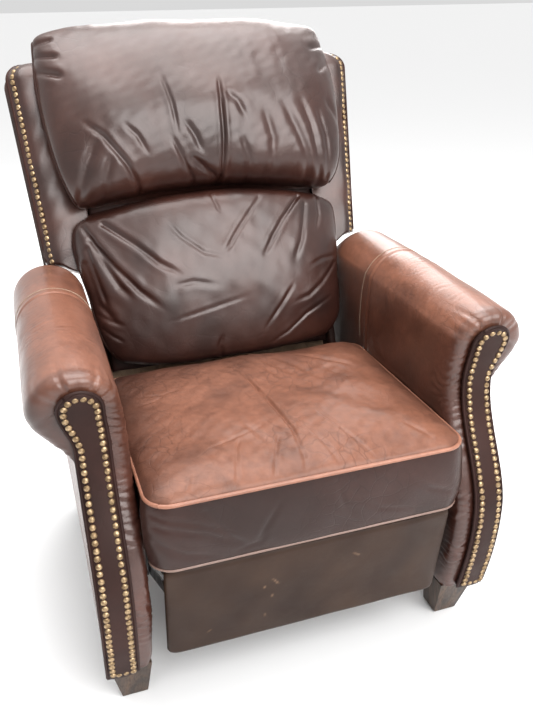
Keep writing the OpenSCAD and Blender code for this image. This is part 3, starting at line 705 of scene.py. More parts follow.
def arm_relief(rings, from_facing, seed):
    """Outward movement of each point: pleats and gathers at the front, the seam, and fine wrinkles."""
    x, y, z = np.moveaxis(rings, -1, 0)
    girth = rings[NOSE_RINGS]
    around = np.cumsum(np.linalg.norm(np.diff(girth, axis=0, prepend=girth[:1]), axis=1))
    bend = ripple(around[None], y, 0.03, 0.12, seed)
    angle = np.degrees(np.arctan2(z - ARCH_Z, x - ARCH_X))
    near = np.exp(-from_facing / 0.030)
    rim = 1.0 - np.exp(-from_facing / 0.004)
    on_roll = smooth(0.548, 0.575, z)
    move = np.zeros(x.shape)
    for at, deep, wide in PLEATS:
        swing = at + 9.0 * (from_facing / 0.05) * math.sin(at)
        move -= deep * 1e-3 * hump(angle, swing, wide) * near * rim * on_roll
        move += 0.35 * deep * 1e-3 * hump(angle, swing + 2.3 * wide, 1.5 * wide) * near * rim * on_roll
    inner = smooth(0.345, 0.325, x) * (1.0 - smooth(0.56, 0.60, z)) * smooth(0.12, 0.20, z)
    under = smooth(0.36, 0.38, x) * (1.0 - smooth(0.53, 0.57, z))
    gather = np.sin(2 * np.pi * (around[None] + 0.35 * from_facing) / GATHER_STEP + 3.2 * bend)
    reach = np.exp(-((from_facing - 0.016) / 0.028) ** 2)
    uneven = 0.65 + 0.35 * ripple(x, z, 0.05, 0.2, seed + 1)
    move += 1.9e-3 * gather * reach * (inner + 0.8 * under) * uneven
    wander = 3.4 * ripple(around[None], y, 0.04, 0.14, seed + 2)
    creased = np.sin(2 * np.pi * (y + 0.30 * (z - 0.6)) / WRINKLE_STEP + wander)
    creased = creased + 0.6 * np.sin(2 * np.pi * (y - 0.2 * (z - 0.6)) / 0.0170 + 1.3 * wander)
    crown = hump(z, 0.640, 0.050) * smooth(-0.31, -0.25, y) * smooth(SEAM_Y + 0.01, SEAM_Y - 0.03, y)
    patch = 0.55 + 0.45 * ripple(around[None], y, 0.06, 0.2, seed + 4)
    move += 0.34e-3 * creased * crown * patch
    move += 0.9e-3 * ripple(around[None], y, 0.10, 0.35, seed + 3) * smooth(0.10, 0.2, z)
    seam = smooth(0.40, 0.43, z)
    move += (-1.7e-3 * hump(y, SEAM_Y, 0.0030) + 0.9e-3 * hump(y, SEAM_Y + 0.0075, 0.005)) * seam
    return move


def arm_wear(rings):
    """How worn the arm is: most along the roll, some on the inner face, none under the roll or low down."""
    x, y, z = np.moveaxis(rings, -1, 0)
    top = smooth(0.575, 0.652, z) * (1.0 - 0.35 * smooth(0.40, 0.43, x))
    side = 0.33 * smooth(0.40, 0.60, z) * smooth(0.35, 0.30, x)
    patch = 1.0 + 0.22 * ripple(y, x + z, 0.06, 0.25, 91)
    front = 1.0 - 0.55 * smooth(-0.318, -0.345, y)
    rear = 1.0 - 0.25 * smooth(0.02, 0.2, y)
    return np.clip((0.92 * top + side) * patch * front * rear, 0.0, 1.0)


arm_rings, arm_reach = arm_grid()
for side, sign in SIDES:
    grid = raised(arm_rings, arm_relief(arm_rings, arm_reach, RELIEF_SEED[side])) * [sign, 1.0, 1.0]
    dress(skin("arm_cover_" + side, grid, arm_leather, arm_wear(arm_rings)), "base",
          [part + side for part in ("arm_pad_", "inner_arm_", "outer_arm_", "arm_front_")])

# %% [markdown]
# The cross seam is held by one row of pale thread. Each stitch is a short spindle lying in
# the direction of the row, all made at once from one small template.

# %% Stitches along the cross seam
def place_copies(template, faces, spots, axes):
    """Copies a small template to many places: axes[i] holds the three directions of copy i as columns."""
    points = np.einsum("nij,vj->nvi", axes, template) + spots[:, None]
    count = len(template)
    every = [[v + s * count for v in f] for s in range(len(spots)) for f in faces]
    return points.reshape(-1, 3), every


def turned(heights, radii, sides):
    """A small turned solid along its third axis: rings of given radii at given heights, ends closed."""
    a = np.linspace(0, 2 * np.pi, sides, endpoint=False)
    heights, radii = np.array(heights)[:, None], np.array(radii)[:, None]
    count = len(radii)
    ends = [list(range(sides))[::-1], list(range((count - 1) * sides, count * sides))]
    faces = ring_faces(count, sides).tolist() + ends
    return xyz(radii * np.cos(a), radii * np.sin(a), heights).reshape(-1, 3), faces


def stitch_row(name, path, outward, step=0.0056, length=0.0036, radius=0.0005):
    """A row of stitches lying on a surface along a path, each a spindle turned to lie along it."""
    spots = even_path(np.concatenate([path, outward], axis=1), step)
    t, n = tangents(spots[:, :3], False), spots[:, 3:]
    n = unit(n - np.einsum("ij,ij->i", n, t)[:, None] * t)
    at = np.array([-0.5, -0.32, 0.32, 0.5]) * length
    template, faces = turned(at, np.array([0.35, 1.0, 1.0, 0.35]) * radius, 6)
    points, every = place_copies(template, faces, spots[:, :3], np.stack([n, np.cross(t, n), t], axis=2))
    return add_mesh(name, points, every, thread)


STITCH_Y, STITCH_LOW, ON_INNER_FACE = SEAM_Y + 0.0045, 0.47, 60
ring = int(np.argmin(np.abs(arm_rings[NOSE_RINGS:, ON_INNER_FACE, 1] - STITCH_Y))) + NOSE_RINGS
shown = arm_rings[ring, :, 2] > STITCH_LOW
arm_out = normals_of(arm_rings)[ring, shown]
for side, sign in SIDES:
    line = raised(arm_rings, arm_relief(arm_rings, arm_reach, RELIEF_SEED[side]) + 0.0003)[ring, shown]
    mirror = [sign, 1, 1]
    dress(stitch_row("arm_stitches_" + side, line * mirror, arm_out * mirror), "base")

# %% [markdown]
# ## Facings and nails
#
# The facing is a padded board that follows the S-curve. Each level is one closed loop: a
# slightly crowned front, two rounded edges, and a flat back. A welt runs round its edge and
# the nail heads stand in one line inside it. A nail head is a low dome with a small skirt.

# %% Facing panel
def facing_outline(inset, step=0.004):
    """Closed outline (x, z) of the facing, drawn in by an inset."""
    low = np.linspace(FACING_LOW + inset, ARCH_Z, 130)
    angle = np.linspace(np.pi, 0.0, 40)[1:-1]
    inner = np.stack([facing_middle(low) - facing_half(low, inset), low], axis=1)
    outer = np.stack([facing_middle(low) + facing_half(low, inset), low], axis=1)[::-1]
    r = ARCH_R - inset
    arch = np.stack([ARCH_X + r * np.cos(angle), ARCH_Z + r * np.sin(angle)], axis=1)
    return even_path(np.concatenate([inner, arch, outer]), step, closed=True)


def facing_rings():
    """Loops from the foot to the top of the arch: crowned front, rounded edges, flat back."""
    rise = np.linspace(0, np.pi / 2, 26)[:-1]
    z = np.concatenate([np.linspace(FACING_LOW, ARCH_Z, 120, endpoint=False), ARCH_Z + ARCH_R * np.sin(rise)])
    u = np.linspace(-1, 1, 37)
    front = np.stack([u, -0.0050 * (1 - u**4) - 0.0016 * (1 - u**2), 0 * u], axis=1)
    back = np.stack([u[::-1] * 0.97, np.full(37, 0.0125), 0 * u], axis=1)
    loop = np.concatenate([front, back])
    half, mid = facing_half(z), facing_middle(z)
    x = mid[:, None] + half[:, None] * loop[:, 0]
    y = facing_y(z)[:, None] + 0.0032 + loop[:, 1]
    return xyz(x, y, z[:, None])


def nail_row(name, spots, outward, body, replaced):
    """Nail heads at the spots, each turned to face outwards, with a little unevenness in their seating."""
    rng = np.random.default_rng(len(spots))
    n = unit(outward + rng.normal(0.0, 0.035, outward.shape))
    side = unit(np.cross(n, [[0.0, 0.0, 1.0]]))
    axes = np.stack([side, np.cross(n, side), n], axis=2)
    lift = np.radians([-16, 0, 28, 52, 74])
    template, faces = turned(NAIL_HIGH * np.sin(lift), NAIL_R * np.cos(lift), 12)
    points, every = place_copies(template, faces, spots + rng.normal(0.0, 0.00025, spots.shape), axes)
    dress(add_mesh(name, points, every, brass), body, replaced=[replaced])


def facing_normals(z):
    """Outward directions of the S-curve: square to its slope, facing -Y."""
    slope = (facing_y(z + 1e-3) - facing_y(z - 1e-3)) / 2e-3
    return unit(xyz(0.0, -1.0, slope))


for side, sign in SIDES:
    mirror = [sign, 1, 1]
    rings = facing_rings() * mirror
    facing = skin("facing_" + side, rings, dark_leather, np.full(rings.shape[:2], 0.05))
    dress(facing, "base", ["front_facing_" + side])
    x, z = facing_outline(-0.0004).T
    path = xyz(x, facing_y(z) + 0.0035, z) * mirror
    dress(cord_round("facing_welt_" + side, path, 0.0030, dark_leather, closed=True), "base")
    x, z = facing_outline(0.0090).T
    spots = even_path(xyz(x, facing_y(z) - 0.0017, z) * mirror, NAIL_STEP, closed=True)
    nail_row("nails_facing_" + side, spots, facing_normals(spots[:, 2]), "base", "facing_nails_" + side)

# %% [markdown]
# ## The seat cushion
#
# A box cushion: a crowned top panel, a boxing band round the sides that drops lower at the
# front, a thick tan welt round the rim and a thin pale one along the bottom of the front.
# Its rings are one rounded rectangle at many sizes: growing outwards over the top, bulging
# down the boxing, then shrinking under the cushion. Creases are valleys along drawn lines.

# %% Seat cushion
SEAT_HALF, SEAT_FRONT, SEAT_REAR, SEAT_RIM = 0.2745, -0.432, 0.031, 0.449
SEAT_MIDDLE = np.array([0.0, (SEAT_FRONT + SEAT_REAR) / 2])
SEAT_CROWN = 0.037
BORDER_LOW, SEAT_UNDER = 0.3262, 0.3846


def rounded_box(half, front, rear, front_r, rear_r, count):
    """Outline (x, y) of a rectangle with round corners, from the middle of the rear edge."""
    corners = ((half, rear, rear_r, 90, 0), (half, front, front_r, 0, -90),
               (-half, front, front_r, -90, -180), (-half, rear, rear_r, 180, 90))
    parts = []
    for x, y, r, start, stop in corners:
        a = np.radians(np.linspace(start, stop, 24))
        middle = (x - math.copysign(r, x), y - math.copysign(r, y - 0.5 * (front + rear)))
        parts.append(np.stack([middle[0] + r * np.cos(a), middle[1] + r * np.sin(a)], axis=1))
    return even_path(np.concatenate(parts), closed=True, count=count)


SEAT_CREASES = [
    ([(-30, -55), (-21, -147), (-12, -245), (-5, -331), (-11, -400)], 3, 4.2, 0.3),
    ([(5, -270), (21, -340), (34, -391), (40, -425)], 2.6, 1.4, 0.6),
    ([(50, -280), (57, -307), (80, -373), (102, -424)], 2.4, 1.2, 0.6),
    ([(-95, -320), (-110, -350), (-132, -425)], 2.6, 1.4, 0.8),
    ([(-30, -330), (-44, -360), (-70, -425)], 2.6, 1.4, 0.8),
    ([(-8, -390), (-19, -430)], 2.6, 1.2, 0.8),
    ([(30, -30), (48, -80), (80, -165)], 6.5, 3, 0.0),
    ([(62, -40), (90, -100), (125, -205)], 7, 3, 0.0),
    ([(15, -60), (35, -120), (48, -190)], 5.5, 2.2, 0.0),
    ([(100, -35), (150, -90), (205, -130)], 6, 2, 0.0),
    ([(-82, -290), (-68, -315), (-56, -355)], 5, 1.8, 0.0),
    ([(-165, -345), (-110, -325), (-34, -300)], 3, 0.9, 0.0),
    ([(-245, -100), (-190, -125), (-132, -120)], 3, 1, 0.0),
    ([(-240, -140), (-205, -140), (-174, -125)], 3, 1, 0.0),
    ([(-190, -390), (-205, -425)], 4, 1.4, 0.8),
    ([(180, -360), (215, -410)], 4, 1.2, 0.6),
]
BOXING_CREASES = [
    ([(-150, 385), (-200, 410), (-268, 433)], 4.5, 2.6, 0.9),
    ([(-120, 345), (-190, 390), (-265, 415)], 5.5, 2.8, 0.9),
    ([(-160, 335), (-223, 355), (-266, 385)], 6, 2.2, 0.8),
    ([(-115, 345), (-150, 375), (-185, 430)], 5, 2.4, 0.8),
    ([(-85, 375), (-100, 350), (-155, 340)], 4.5, 1.8, 0.0),
    ([(-60, 430), (-93, 376), (-110, 345)], 4.5, 2, 0.0),
    ([(28, 440), (45, 385), (80, 352)], 4.5, 1.8, 0.0),
    ([(35, 430), (108, 365), (185, 345)], 4, 1.4, 0.0),
    ([(150, 430), (200, 385), (262, 360)], 5, 1.6, 0.6),
]


def seat_rings(outline, low):
    """Top rings of growing size, boxing rings going down, then rings shrinking under the cushion."""
    share = np.concatenate([np.linspace(0.02, 0.90, 92), np.linspace(0.90, 1.0, 18)[1:]])[:, None]
    reach = outline - SEAT_MIDDLE
    flat = SEAT_MIDDLE + reach * share[..., None]
    top = xyz(flat[..., 0], flat[..., 1], SEAT_RIM + SEAT_CROWN * (1.0 - share**3.0) ** 0.58)
    drop = np.linspace(0.0, 1.0, 44)[1:, None]
    most = 0.0008 + 0.0095 * smooth(-0.36, -0.40, outline[:, 1])
    bulge = most * np.sin(np.pi * drop).clip(0.0) ** 0.7
    sides = outline + unit(reach) * bulge[..., None]
    box = xyz(sides[..., 0], sides[..., 1], SEAT_RIM + (low - SEAT_RIM) * drop)
    inward = np.array([0.985, 0.95, 0.93, 0.88, 0.7, 0.4, 0.03])[:, None, None]
    under = SEAT_MIDDLE + reach * inward
    foot = xyz(under[..., 0], under[..., 1], np.where(under[..., 1] < -0.392, BORDER_LOW, SEAT_UNDER))
    return top, box, foot


def top_relief(x, y):
    """Creases and waves of the top panel, fading out at its rim."""
    move = -creases(x, y, SEAT_CREASES)
    move += 2.2e-3 * ripple(x, y, 0.10, 0.30, 21)
    move += 0.35e-3 * ripple(x, y, 0.022, 0.06, 22)
    inside = 1.0 - smooth(0.93, 1.0, np.abs((y - SEAT_MIDDLE[1]) / (SEAT_REAR - SEAT_MIDDLE[1])))
    return move * inside * (1.0 - smooth(0.95, 1.0, np.abs(x / SEAT_HALF)))


def boxing_relief(x, y, z):
    """Creases and waves of the front of the boxing, fading out at both of its seams."""
    band = -creases(x, z, BOXING_CREASES) + 1.2e-3 * ripple(x, z, 0.05, 0.2, 23)
    fade = np.sin(np.pi * np.linspace(0.03, 0.97, len(x)))[:, None] ** 0.5
    return band * smooth(-0.40, -0.425, y) * fade


def seat_wear_and_painted_shade(x, y):
    """Tan where worn in the middle and at the front; darker along both sides and the rear, as painted shade
    beside the arms and under the back.
    """
    kept = 1.0 - 0.62 * smooth(0.17, 0.265, -x + 0.14 * (y + 0.2))
    kept *= 1.0 - 0.60 * smooth(-0.11, 0.02, y) * (1.0 - 0.4 * smooth(0.0, 0.2, x))
    kept *= 1.0 - 0.35 * smooth(0.20, 0.268, x)
    return np.clip(0.98 * kept * (1.0 + 0.16 * ripple(x, y, 0.05, 0.2, 24)), 0, 1)


seat_outline = rounded_box(SEAT_HALF, SEAT_FRONT, SEAT_REAR, 0.040, 0.030, 620)
seat_low = SEAT_UNDER + (BORDER_LOW - SEAT_UNDER) * smooth(-0.388, -0.398, seat_outline[:, 1])
top, box, foot = seat_rings(seat_outline, seat_low)
relief = [top_relief(top[..., 0], top[..., 1]), boxing_relief(*np.moveaxis(box, -1, 0)),
          np.zeros(foot.shape[:2])]
# The top's values hold real wear, and painted shade along its sides and rear; the boxing and the underside
# stay low.
worn = [seat_wear_and_painted_shade(top[..., 0], top[..., 1]), np.full(box.shape[:2], 0.02), np.full(foot.shape[:2], 0.02)]
rings = raised(np.concatenate([top, box, foot]), np.concatenate(relief))
seat = skin("seat_cushion_cover", rings, seat_leather, np.concatenate(worn))
dress(seat, "seat", ["seat_cushion"])
rim = xyz(seat_outline[:, 0] * 0.9985, seat_outline[:, 1], SEAT_RIM)
rim[:, 1] -= 0.0016 * smooth(-0.40, -0.43, rim[:, 1])
dress(cord_round("seat_welt", rim, 0.0036, welt_leather, closed=True, wear_and_painted_light=0.55), "seat")
lower = xyz(seat_outline[:, 0], seat_outline[:, 1], seat_low + 0.0005)[seat_outline[:, 1] < -0.397]
dress(cord_round("seat_lower_welt", lower, 0.0026, pale_welt, wear_and_painted_light=0.1), "seat")
print("seat lowest", round(float(rings[..., 2].min()), 4))

# %% [markdown]
# ## The pillows of the back
#
# The headrest and the lumbar pillow are bolsters. Each is a table of rows from its lower
# seam, over its face, to its upper seam. A row gives the face on the middle line, the side
# seam, the hidden rear, and the half width there. Across a row the cover domes from the side
# seams to the middle: depth times (1 - u^p)^q at share u of the half width. The folds are
# drawn as valleys that run into the seams, where the filling pulls them. All of these tables
# are in millimetres.

# %% Pillow helper
ACROSS = 251


def pillow_rings(rows, along, across, power, roundness):
    """Closed sections of a pillow: the domed face from left to right, then the rear back again."""
    t = rounded(np.array(rows) / 1000.0, along, closed=False)
    face_w, face_v, seam_w, seam_v, rear_w, rear_v, half = (t[:, k, None] for k in range(7))
    s = np.linspace(-1.0, 1.0, across)[None]
    u = 0.62 * s + 0.38 * np.sin(np.pi * s / 2)
    dome = np.clip(1.0 - np.abs(u) ** power, 0.0, 1.0) ** roundness
    face = np.stack([half * u, seam_w + (face_w - seam_w) * dome, seam_v + (face_v - seam_v) * dome], axis=-1)
    b = np.concatenate([np.linspace(0.15, 0.85, 5), np.ones(19), np.linspace(0.85, 0.15, 5)])[None]
    turn = np.concatenate([np.ones(5), np.linspace(0.97, -0.97, 19), -np.ones(5)])[None]
    x = half * turn * (1.0 - 0.02 * b)
    rear = np.stack([x, seam_w + (rear_w - seam_w) * b, seam_v + (rear_v - seam_v) * b], axis=-1)
    return np.concatenate([face, rear], axis=1)


def pillow(name, replaced, rings, folds, seed, wear_of, uneven, welted, welt_radius):
    """Folds and ripples the face along its normals, leans the pillow into place and welts its seams."""
    x, v = rings[..., 0], rings[..., 2]
    face = np.zeros(rings.shape[1])
    face[:ACROSS] = 1.0 - np.abs(np.linspace(-1, 1, ACROSS)) ** 14
    ends = np.sin(np.pi * np.linspace(0.02, 0.98, len(rings)))[:, None] ** 0.4
    waves = uneven * ripple(x, v, 0.12, 0.40, seed) + 0.30e-3 * ripple(x, v, 0.02, 0.07, seed + 1)
    for side, column in (("left", 0), ("right", ACROSS - 1)):
        seam = in_back(rings[welted[0]:welted[1], column])
        dress(cord_round(name + "_welt_" + side, seam, welt_radius, dark_leather, wear_and_painted_light=0.25), "back")
    placed = in_back(raised(rings, (waves - creases(x, v, folds)) * face * ends))
    dress(skin(name + "_cover", placed, back_leather, wear_of(x, v)), "back", [replaced])


# %% Headrest
HEADREST = [
    (-34, 400, -40, 402, -32, 402, 258),
    (-78, 399, -62, 406, -32, 405, 270),
    (-112, 408, -82, 418, -32, 412, 280),
    (-136, 436, -92, 442, -32, 430, 291),
    (-148, 482, -90, 480, -32, 470, 302),
    (-151, 555, -75, 545, -32, 540, 312),
    (-139, 632, -58, 612, -32, 610, 318),
    (-112, 702, -36, 672, -30, 670, 319),
    (-78, 752, -18, 715, -18, 706, 316),
    (-42, 780, -8, 748, -10, 719.5, 313),
    (-4, 787, 4, 756, 0, 720.5, 309),
    (18, 774, 14, 750, 10, 720.5, 304),
    (27, 748, 22, 734, 18, 720.5, 298),
    (26.5, 724, 25.5, 724, 24, 721, 297),
]
HEADREST_FOLDS = [
    ([(36, 640), (34, 611), (31, 568), (29, 511), (22, 432)], 3.6, 7.5, 1.0),
    ([(38, 605), (66, 581), (84, 540)], 6, 4, 0.0),
    ([(-83, 660), (-69, 583), (-64, 512)], 3.4, 3, 0.0),
    ([(-82, 530), (-55, 463), (-35, 430)], 4.2, 4.2, 1.0),
    ([(-175, 555), (-146, 526), (-124, 480)], 4.2, 3, 0.0),
    ([(-255, 570), (-212, 530), (-174, 475), (-140, 405)], 4.8, 5.6, 1.0),
    ([(-52, 555), (-31, 519), (-15, 475)], 6, 4, 0.0),
    ([(-215, 545), (-251, 475), (-275, 410)], 9, 6, 1.0),
    ([(-50, 485), (-10, 450), (18, 430)], 6, 6, 1.0),
    ([(155, 600), (189, 525), (208, 470), (214, 410)], 9, 4, 0.8),
    ([(120, 580), (136, 504), (130, 430)], 9, 3.6, 0.6),
    ([(205, 590), (225, 528), (245, 410)], 8, 4, 0.8),
    ([(60, 530), (81, 464), (80, 425)], 7, 3.2, 0.8),
    ([(242, 580), (262, 506), (262, 420)], 7, 3.8, 0.8),
    ([(-195, 510), (-215, 450), (-224, 405)], 7, 3, 1.0),
    ([(-265, 702), (-290, 708), (-318, 716)], 5, 7, 1.0),
    ([(-262, 655), (-290, 668), (-318, 680)], 6, 8, 1.0),
    ([(-270, 748), (-290, 745), (-312, 742)], 5, 6, 1.0),
    ([(262, 640), (290, 660), (316, 676)], 7, 5, 1.0),
    ([(255, 700), (290, 710), (314, 716)], 6, 5, 1.0),
    ([(268, 590), (292, 560), (314, 530)], 7, 3.6, 1.0),
]
rings = pillow_rings(HEADREST, 250, ACROSS, 3.4, 0.52)
share = np.clip(1.0 - (rings[..., 0] / 0.27) ** 2, 0.0, 1.0)
rings[..., 2] += 0.030 * share * (1.0 - smooth(0.41, 0.56, rings[..., 2]))


def headrest_wear(x, v):
    """Mostly dark; a little redder towards the lower left, the side and the crest."""
    tint = 0.10 + 0.22 * smooth(-0.20, -0.29, x) + 0.18 * smooth(0.50, 0.43, v) * smooth(0.0, -0.15, x)
    return np.clip(tint + 0.22 * smooth(0.74, 0.78, v) + 0.10 * ripple(x, v, 0.08, 0.25, 31), 0, 1)


pillow("headrest", "headrest_pillow", rings, HEADREST_FOLDS, 33, headrest_wear, 2.4e-3,
       (30, 205), 0.0027)

# %% Lumbar pillow
LUMBAR = [
    (-34, 66, -40, 78, -31, 72, 208),
    (-80, 61, -62, 80, -31, 80, 224),
    (-108, 69, -78, 92, -31, 92, 240),
    (-126, 100, -80, 122, -31, 120, 259),
    (-139, 150, -70, 165, -31, 165, 270),
    (-144, 220, -56, 225, -31, 225, 277),
    (-138, 290, -44, 285, -31, 285, 288),
    (-122, 345, -42, 335, -31, 330, 291),
    (-104, 378, -46, 366, -31, 360, 284),
    (-74, 390, -44, 382, -31, 378, 262),
    (-36, 392, -38, 390, -31, 388, 245),
]
LUMBAR_FOLDS = [
    ([(80, 258), (112, 302), (142, 338), (192, 386)], 3.8, 5.6, 1.0),
    ([(-5, 270), (36, 321), (98, 388)], 3.6, 3, 0.7),
    ([(150, 242), (178, 291), (204, 365)], 5, 3.4, 0.8),
    ([(-112, 362), (-83, 321), (-41, 284), (30, 262)], 3.2, 2, 0.0),
    ([(-85, 240), (-136, 274), (-176, 316), (-232, 366)], 4.8, 5.2, 1.0),
    ([(-125, 168), (-182, 222), (-223, 276), (-256, 328), (-272, 365)], 5.2, 6.6, 1.0),
    ([(-190, 200), (-218, 234), (-243, 289), (-262, 335)], 7, 6, 1.0),
    ([(-245, 190), (-257, 240), (-270, 320)], 4.8, 5, 1.0),
    ([(-225, 150), (-262, 205), (-277, 290)], 6, 4.6, 1.0),
    ([(-145, 150), (-82, 162), (-16, 175), (60, 190)], 3, 1.8, 0.0),
    ([(150, 205), (109, 155), (62, 102)], 3.2, 2.4, 0.0),
    ([(130, 157), (180, 170), (216, 194), (262, 235)], 3.4, 2.6, 1.0),
    ([(70, 72), (123, 96), (170, 131), (232, 160)], 3.2, 2.6, 0.4),
    ([(-215, 155), (-245, 168), (-266, 185)], 3.2, 2.6, 1.0),
    ([(-220, 120), (-245, 138), (-262, 155)], 3.2, 2.4, 1.0),
    ([(-120, 222), (-73, 228), (-10, 212)], 5, 2.2, 0.0),
    ([(8, 360), (-4, 405)], 3.6, 1.8, 1.0),
    ([(215, 300), (236, 340), (240, 380)], 5, 2.8, 1.0),
    ([(180, 230), (225, 245), (272, 250)], 3.6, 2, 1.0),
    ([(-20, 115), (-30, 90), (-25, 68)], 4.5, 2.4, 1.0),
]
rings = pillow_rings(LUMBAR, 180, ACROSS, 3.0, 0.54)
share = np.clip(1.0 - (rings[..., 0] / 0.27) ** 2, 0.0, 1.0)
rings[..., 2] += 0.026 * share * smooth(0.30, 0.385, rings[..., 2])


def lumbar_wear(x, v):
    """Dark espresso, turning to brown low on the right and along the top edge."""
    tint = 0.12 + 0.30 * smooth(0.16, 0.09, v) * smooth(-0.05, 0.2, x) + 0.15 * smooth(0.36, 0.39, v)
    return np.clip(tint + 0.12 * ripple(x, v, 0.06, 0.2, 41), 0, 1)


pillow("lumbar", "lumbar_cushion", rings, LUMBAR_FOLDS, 43, lumbar_wear, 1.5e-3, (26, 160), 0.0024)

# %% [markdown]
# ## Wings, inner back and outside back
#
# A wing stands on each side of the pillows. Its front is a soft roll that falls back to the
# outer edge, where the nails stand, and two thin welts finish that edge. At each height the
# wing is one closed section; the top corner is a quarter circle. Two narrow side covers close
# the gap between the back and the arms. The outside back is a plain padded panel, narrow
# between the arms and wide above them, with a roll along its top.

# %% Wings
WING_LOW, WING_TOP, WING_CORNER = 0.3000, 0.716, 0.040
WING_SQUARE = WING_TOP - WING_CORNER
WING_SEED = {"left": 51, "right": 53}


def wing_edge(v):
    """Outer edge of the wing: it leans outwards by 26 mm on its way up."""
    return 0.350 + 0.026 * (np.minimum(v, WING_TOP) - 0.306) / 0.410


def corner_turn(v):
    """Share of the top corner's quarter circle lost at this height: 1 - sqrt(1 - t^2)."""
    t = np.clip((v - WING_SQUARE) / WING_CORNER, 0.0, 1.0)
    return 1.0 - np.sqrt(1.0 - t * t)


def heights_to_corner(low, straight, turned_count):
    """Heights from low up to the top corner, then crowding together round its quarter circle."""
    turn = np.linspace(0, np.pi / 2, turned_count)[1:]
    return np.concatenate([np.linspace(low, WING_SQUARE, straight), WING_SQUARE + WING_CORNER * np.sin(turn)])


def wing_rings():
    """Sections (across, behind) of the right wing at each height, with the front rolled back at the top."""
    v = heights_to_corner(WING_LOW, 90, 24)
    outer = wing_edge(v) - WING_CORNER * corner_turn(v)
    inset = np.array([0.030, 0.018, 0.0115, 0.007, 0.0022, 0.0, 0.0, 0.0, 0.003])
    behind = np.array([-0.0300, -0.0255, -0.0190, -0.0165, -0.0130, -0.0060, 0.0300, 0.0550, 0.0590])
    fixed_x = np.array([0.256, 0.2532, 0.2532, 0.2555, 0.275, 0.300])
    fixed_w = np.array([0.0590, 0.0560, -0.0200, -0.0260, -0.0285, -0.0302])
    x = np.concatenate([outer[:, None] - inset, np.broadcast_to(fixed_x, (len(v), 6))], axis=1)
    x[:, -1] = np.minimum(x[:, -1], x[:, 0] - 0.006)
    x[:, -2] = np.minimum(x[:, -2], x[:, -1] - 0.006)
    w = np.broadcast_to(np.concatenate([behind, fixed_w]), x.shape).copy()
    front = w < 0.0
    w += np.where(front, 0.030 * corner_turn(v)[:, None] ** 0.8, 0.0)
    loops = np.stack([rounded(np.stack([x[k], w[k]], axis=1), 90) for k in range(len(v))])
    drop = 0.022 * smooth(0.330, 0.285, loops[..., 0]) * smooth(0.360, WING_LOW, v)[:, None]
    return xyz(loops[..., 0], loops[..., 1], v[:, None] - drop)


def wing_nail_line(inset):
    """Line (across, up) parallel to the wing's outer edge, up the side and round the top corner."""
    v = np.linspace(WING_LOW + 0.006, WING_SQUARE, 60)
    side = np.stack([wing_edge(v) - inset, v], axis=1)
    a = np.linspace(0, np.pi / 2, 24)[1:]
    middle = wing_edge(WING_SQUARE) - WING_CORNER
    r = WING_CORNER - inset
    corner = np.stack([middle + r * np.cos(a) + 0.0018 * a, WING_SQUARE + r * np.sin(a)], axis=1)
    return np.concatenate([side, corner])


def front_roll(line, at_edge):
    """How far behind a line on the wing lies: its depth at the edge, rolled back at the top corner."""
    return at_edge + 0.030 * corner_turn(line[:, 1]) ** 0.8


plain_wing = wing_rings()
x, w, v = np.moveaxis(plain_wing, -1, 0)
# The wing's front, from the headrest out towards the nails, is painted lighter as a highlight strip, over an
# uneven tone.
wear_and_painted_light = 0.16 + 0.25 * smooth(0.330, 0.300, x) * smooth(0.0, -0.02, w) + 0.2 * ripple(x, v, 0.05, 0.2, 55)
for side, sign in SIDES:
    mirror = [sign, 1, 1]
    move = 1.1e-3 * ripple(x + w, v, 0.03, 0.16, WING_SEED[side]) * smooth(0.01, -0.02, w)
    placed = in_back(raised(plain_wing, move) * mirror)
    wing = skin("wing_cover_" + side, placed, back_leather, np.clip(wear_and_painted_light, 0, 1))
    dress(wing, "back", ["wing_" + side])
    line = wing_nail_line(0.0115)
    spots = even_path(xyz(line[:, 0], front_roll(line, -0.0196), line[:, 1]) * mirror, NAIL_STEP)
    tip = np.clip((spots[:, 2] - WING_SQUARE) / WING_CORNER, 0.0, 1.0)
    facing_out = xyz(0.42 - 0.25 * tip, -0.90 + 0.25 * tip, 0.45 * tip) * mirror
    nail_row("nails_wing_" + side, in_back(spots), in_back(facing_out) - in_back(np.zeros(3)), "back",
             "wing_nails_" + side)
    for number, inset, depth in (("1", 0.0012, -0.0118), ("2", -0.0004, -0.0052)):
        line = wing_nail_line(inset)
        path = in_back(xyz(line[:, 0], front_roll(line, depth), line[:, 1]) * mirror)
        dress(cord_round("wing_welt_" + side + "_" + number, path, 0.0021, dark_leather, wear_and_painted_light=0.3), "back")

# %% Inner back pad, side covers, outside back and its top roll
INNER_PAD = [
    (-18, 63, -12, 64, 7.5, 64, 244),
    (-26.8, 68, -18, 66, 8, 66, 248),
    *((-27.4, v, -20, v, 8.5, v, 249.5) for v in (150, 300, 450, 620)),
    (-26.8, 696, -18, 698, 8, 698, 248),
    (-18, 701, -12, 700, 7.5, 700, 244),
]
rings = pillow_rings(INNER_PAD, 60, 61, 8.0, 0.5)
inner = skin("inner_back_cover", in_back(rings), dark_leather, np.full(rings.shape[:2], 0.05))
dress(inner, "back", ["inner_back_pad"])


def squared(wave):
    """A sine or cosine swelled by a square root, so that a circle becomes a rounded square."""
    return np.sign(wave) * np.abs(wave) ** 0.5


turn = np.linspace(0, 2 * np.pi, 48, endpoint=False)
behind = 0.0150 + 0.0400 * squared(np.sin(turn))
v = np.linspace(0.030, 0.300, 60)[:, None]
across = 0.2605 + 0.0108 * squared(np.cos(turn)) + 0.0009 * ripple(behind, v, 0.03, 0.12, 57)
for side, sign in SIDES:
    rings = xyz(sign * across, behind, v)
    cheek = skin("back_side_cover_" + side, in_back(rings), dark_leather, np.full(rings.shape[:2], 0.1))
    dress(cheek, "back")

BACK_IN, BACK_OUT, BACK_STEP = 0.0596, 0.0733, 0.308


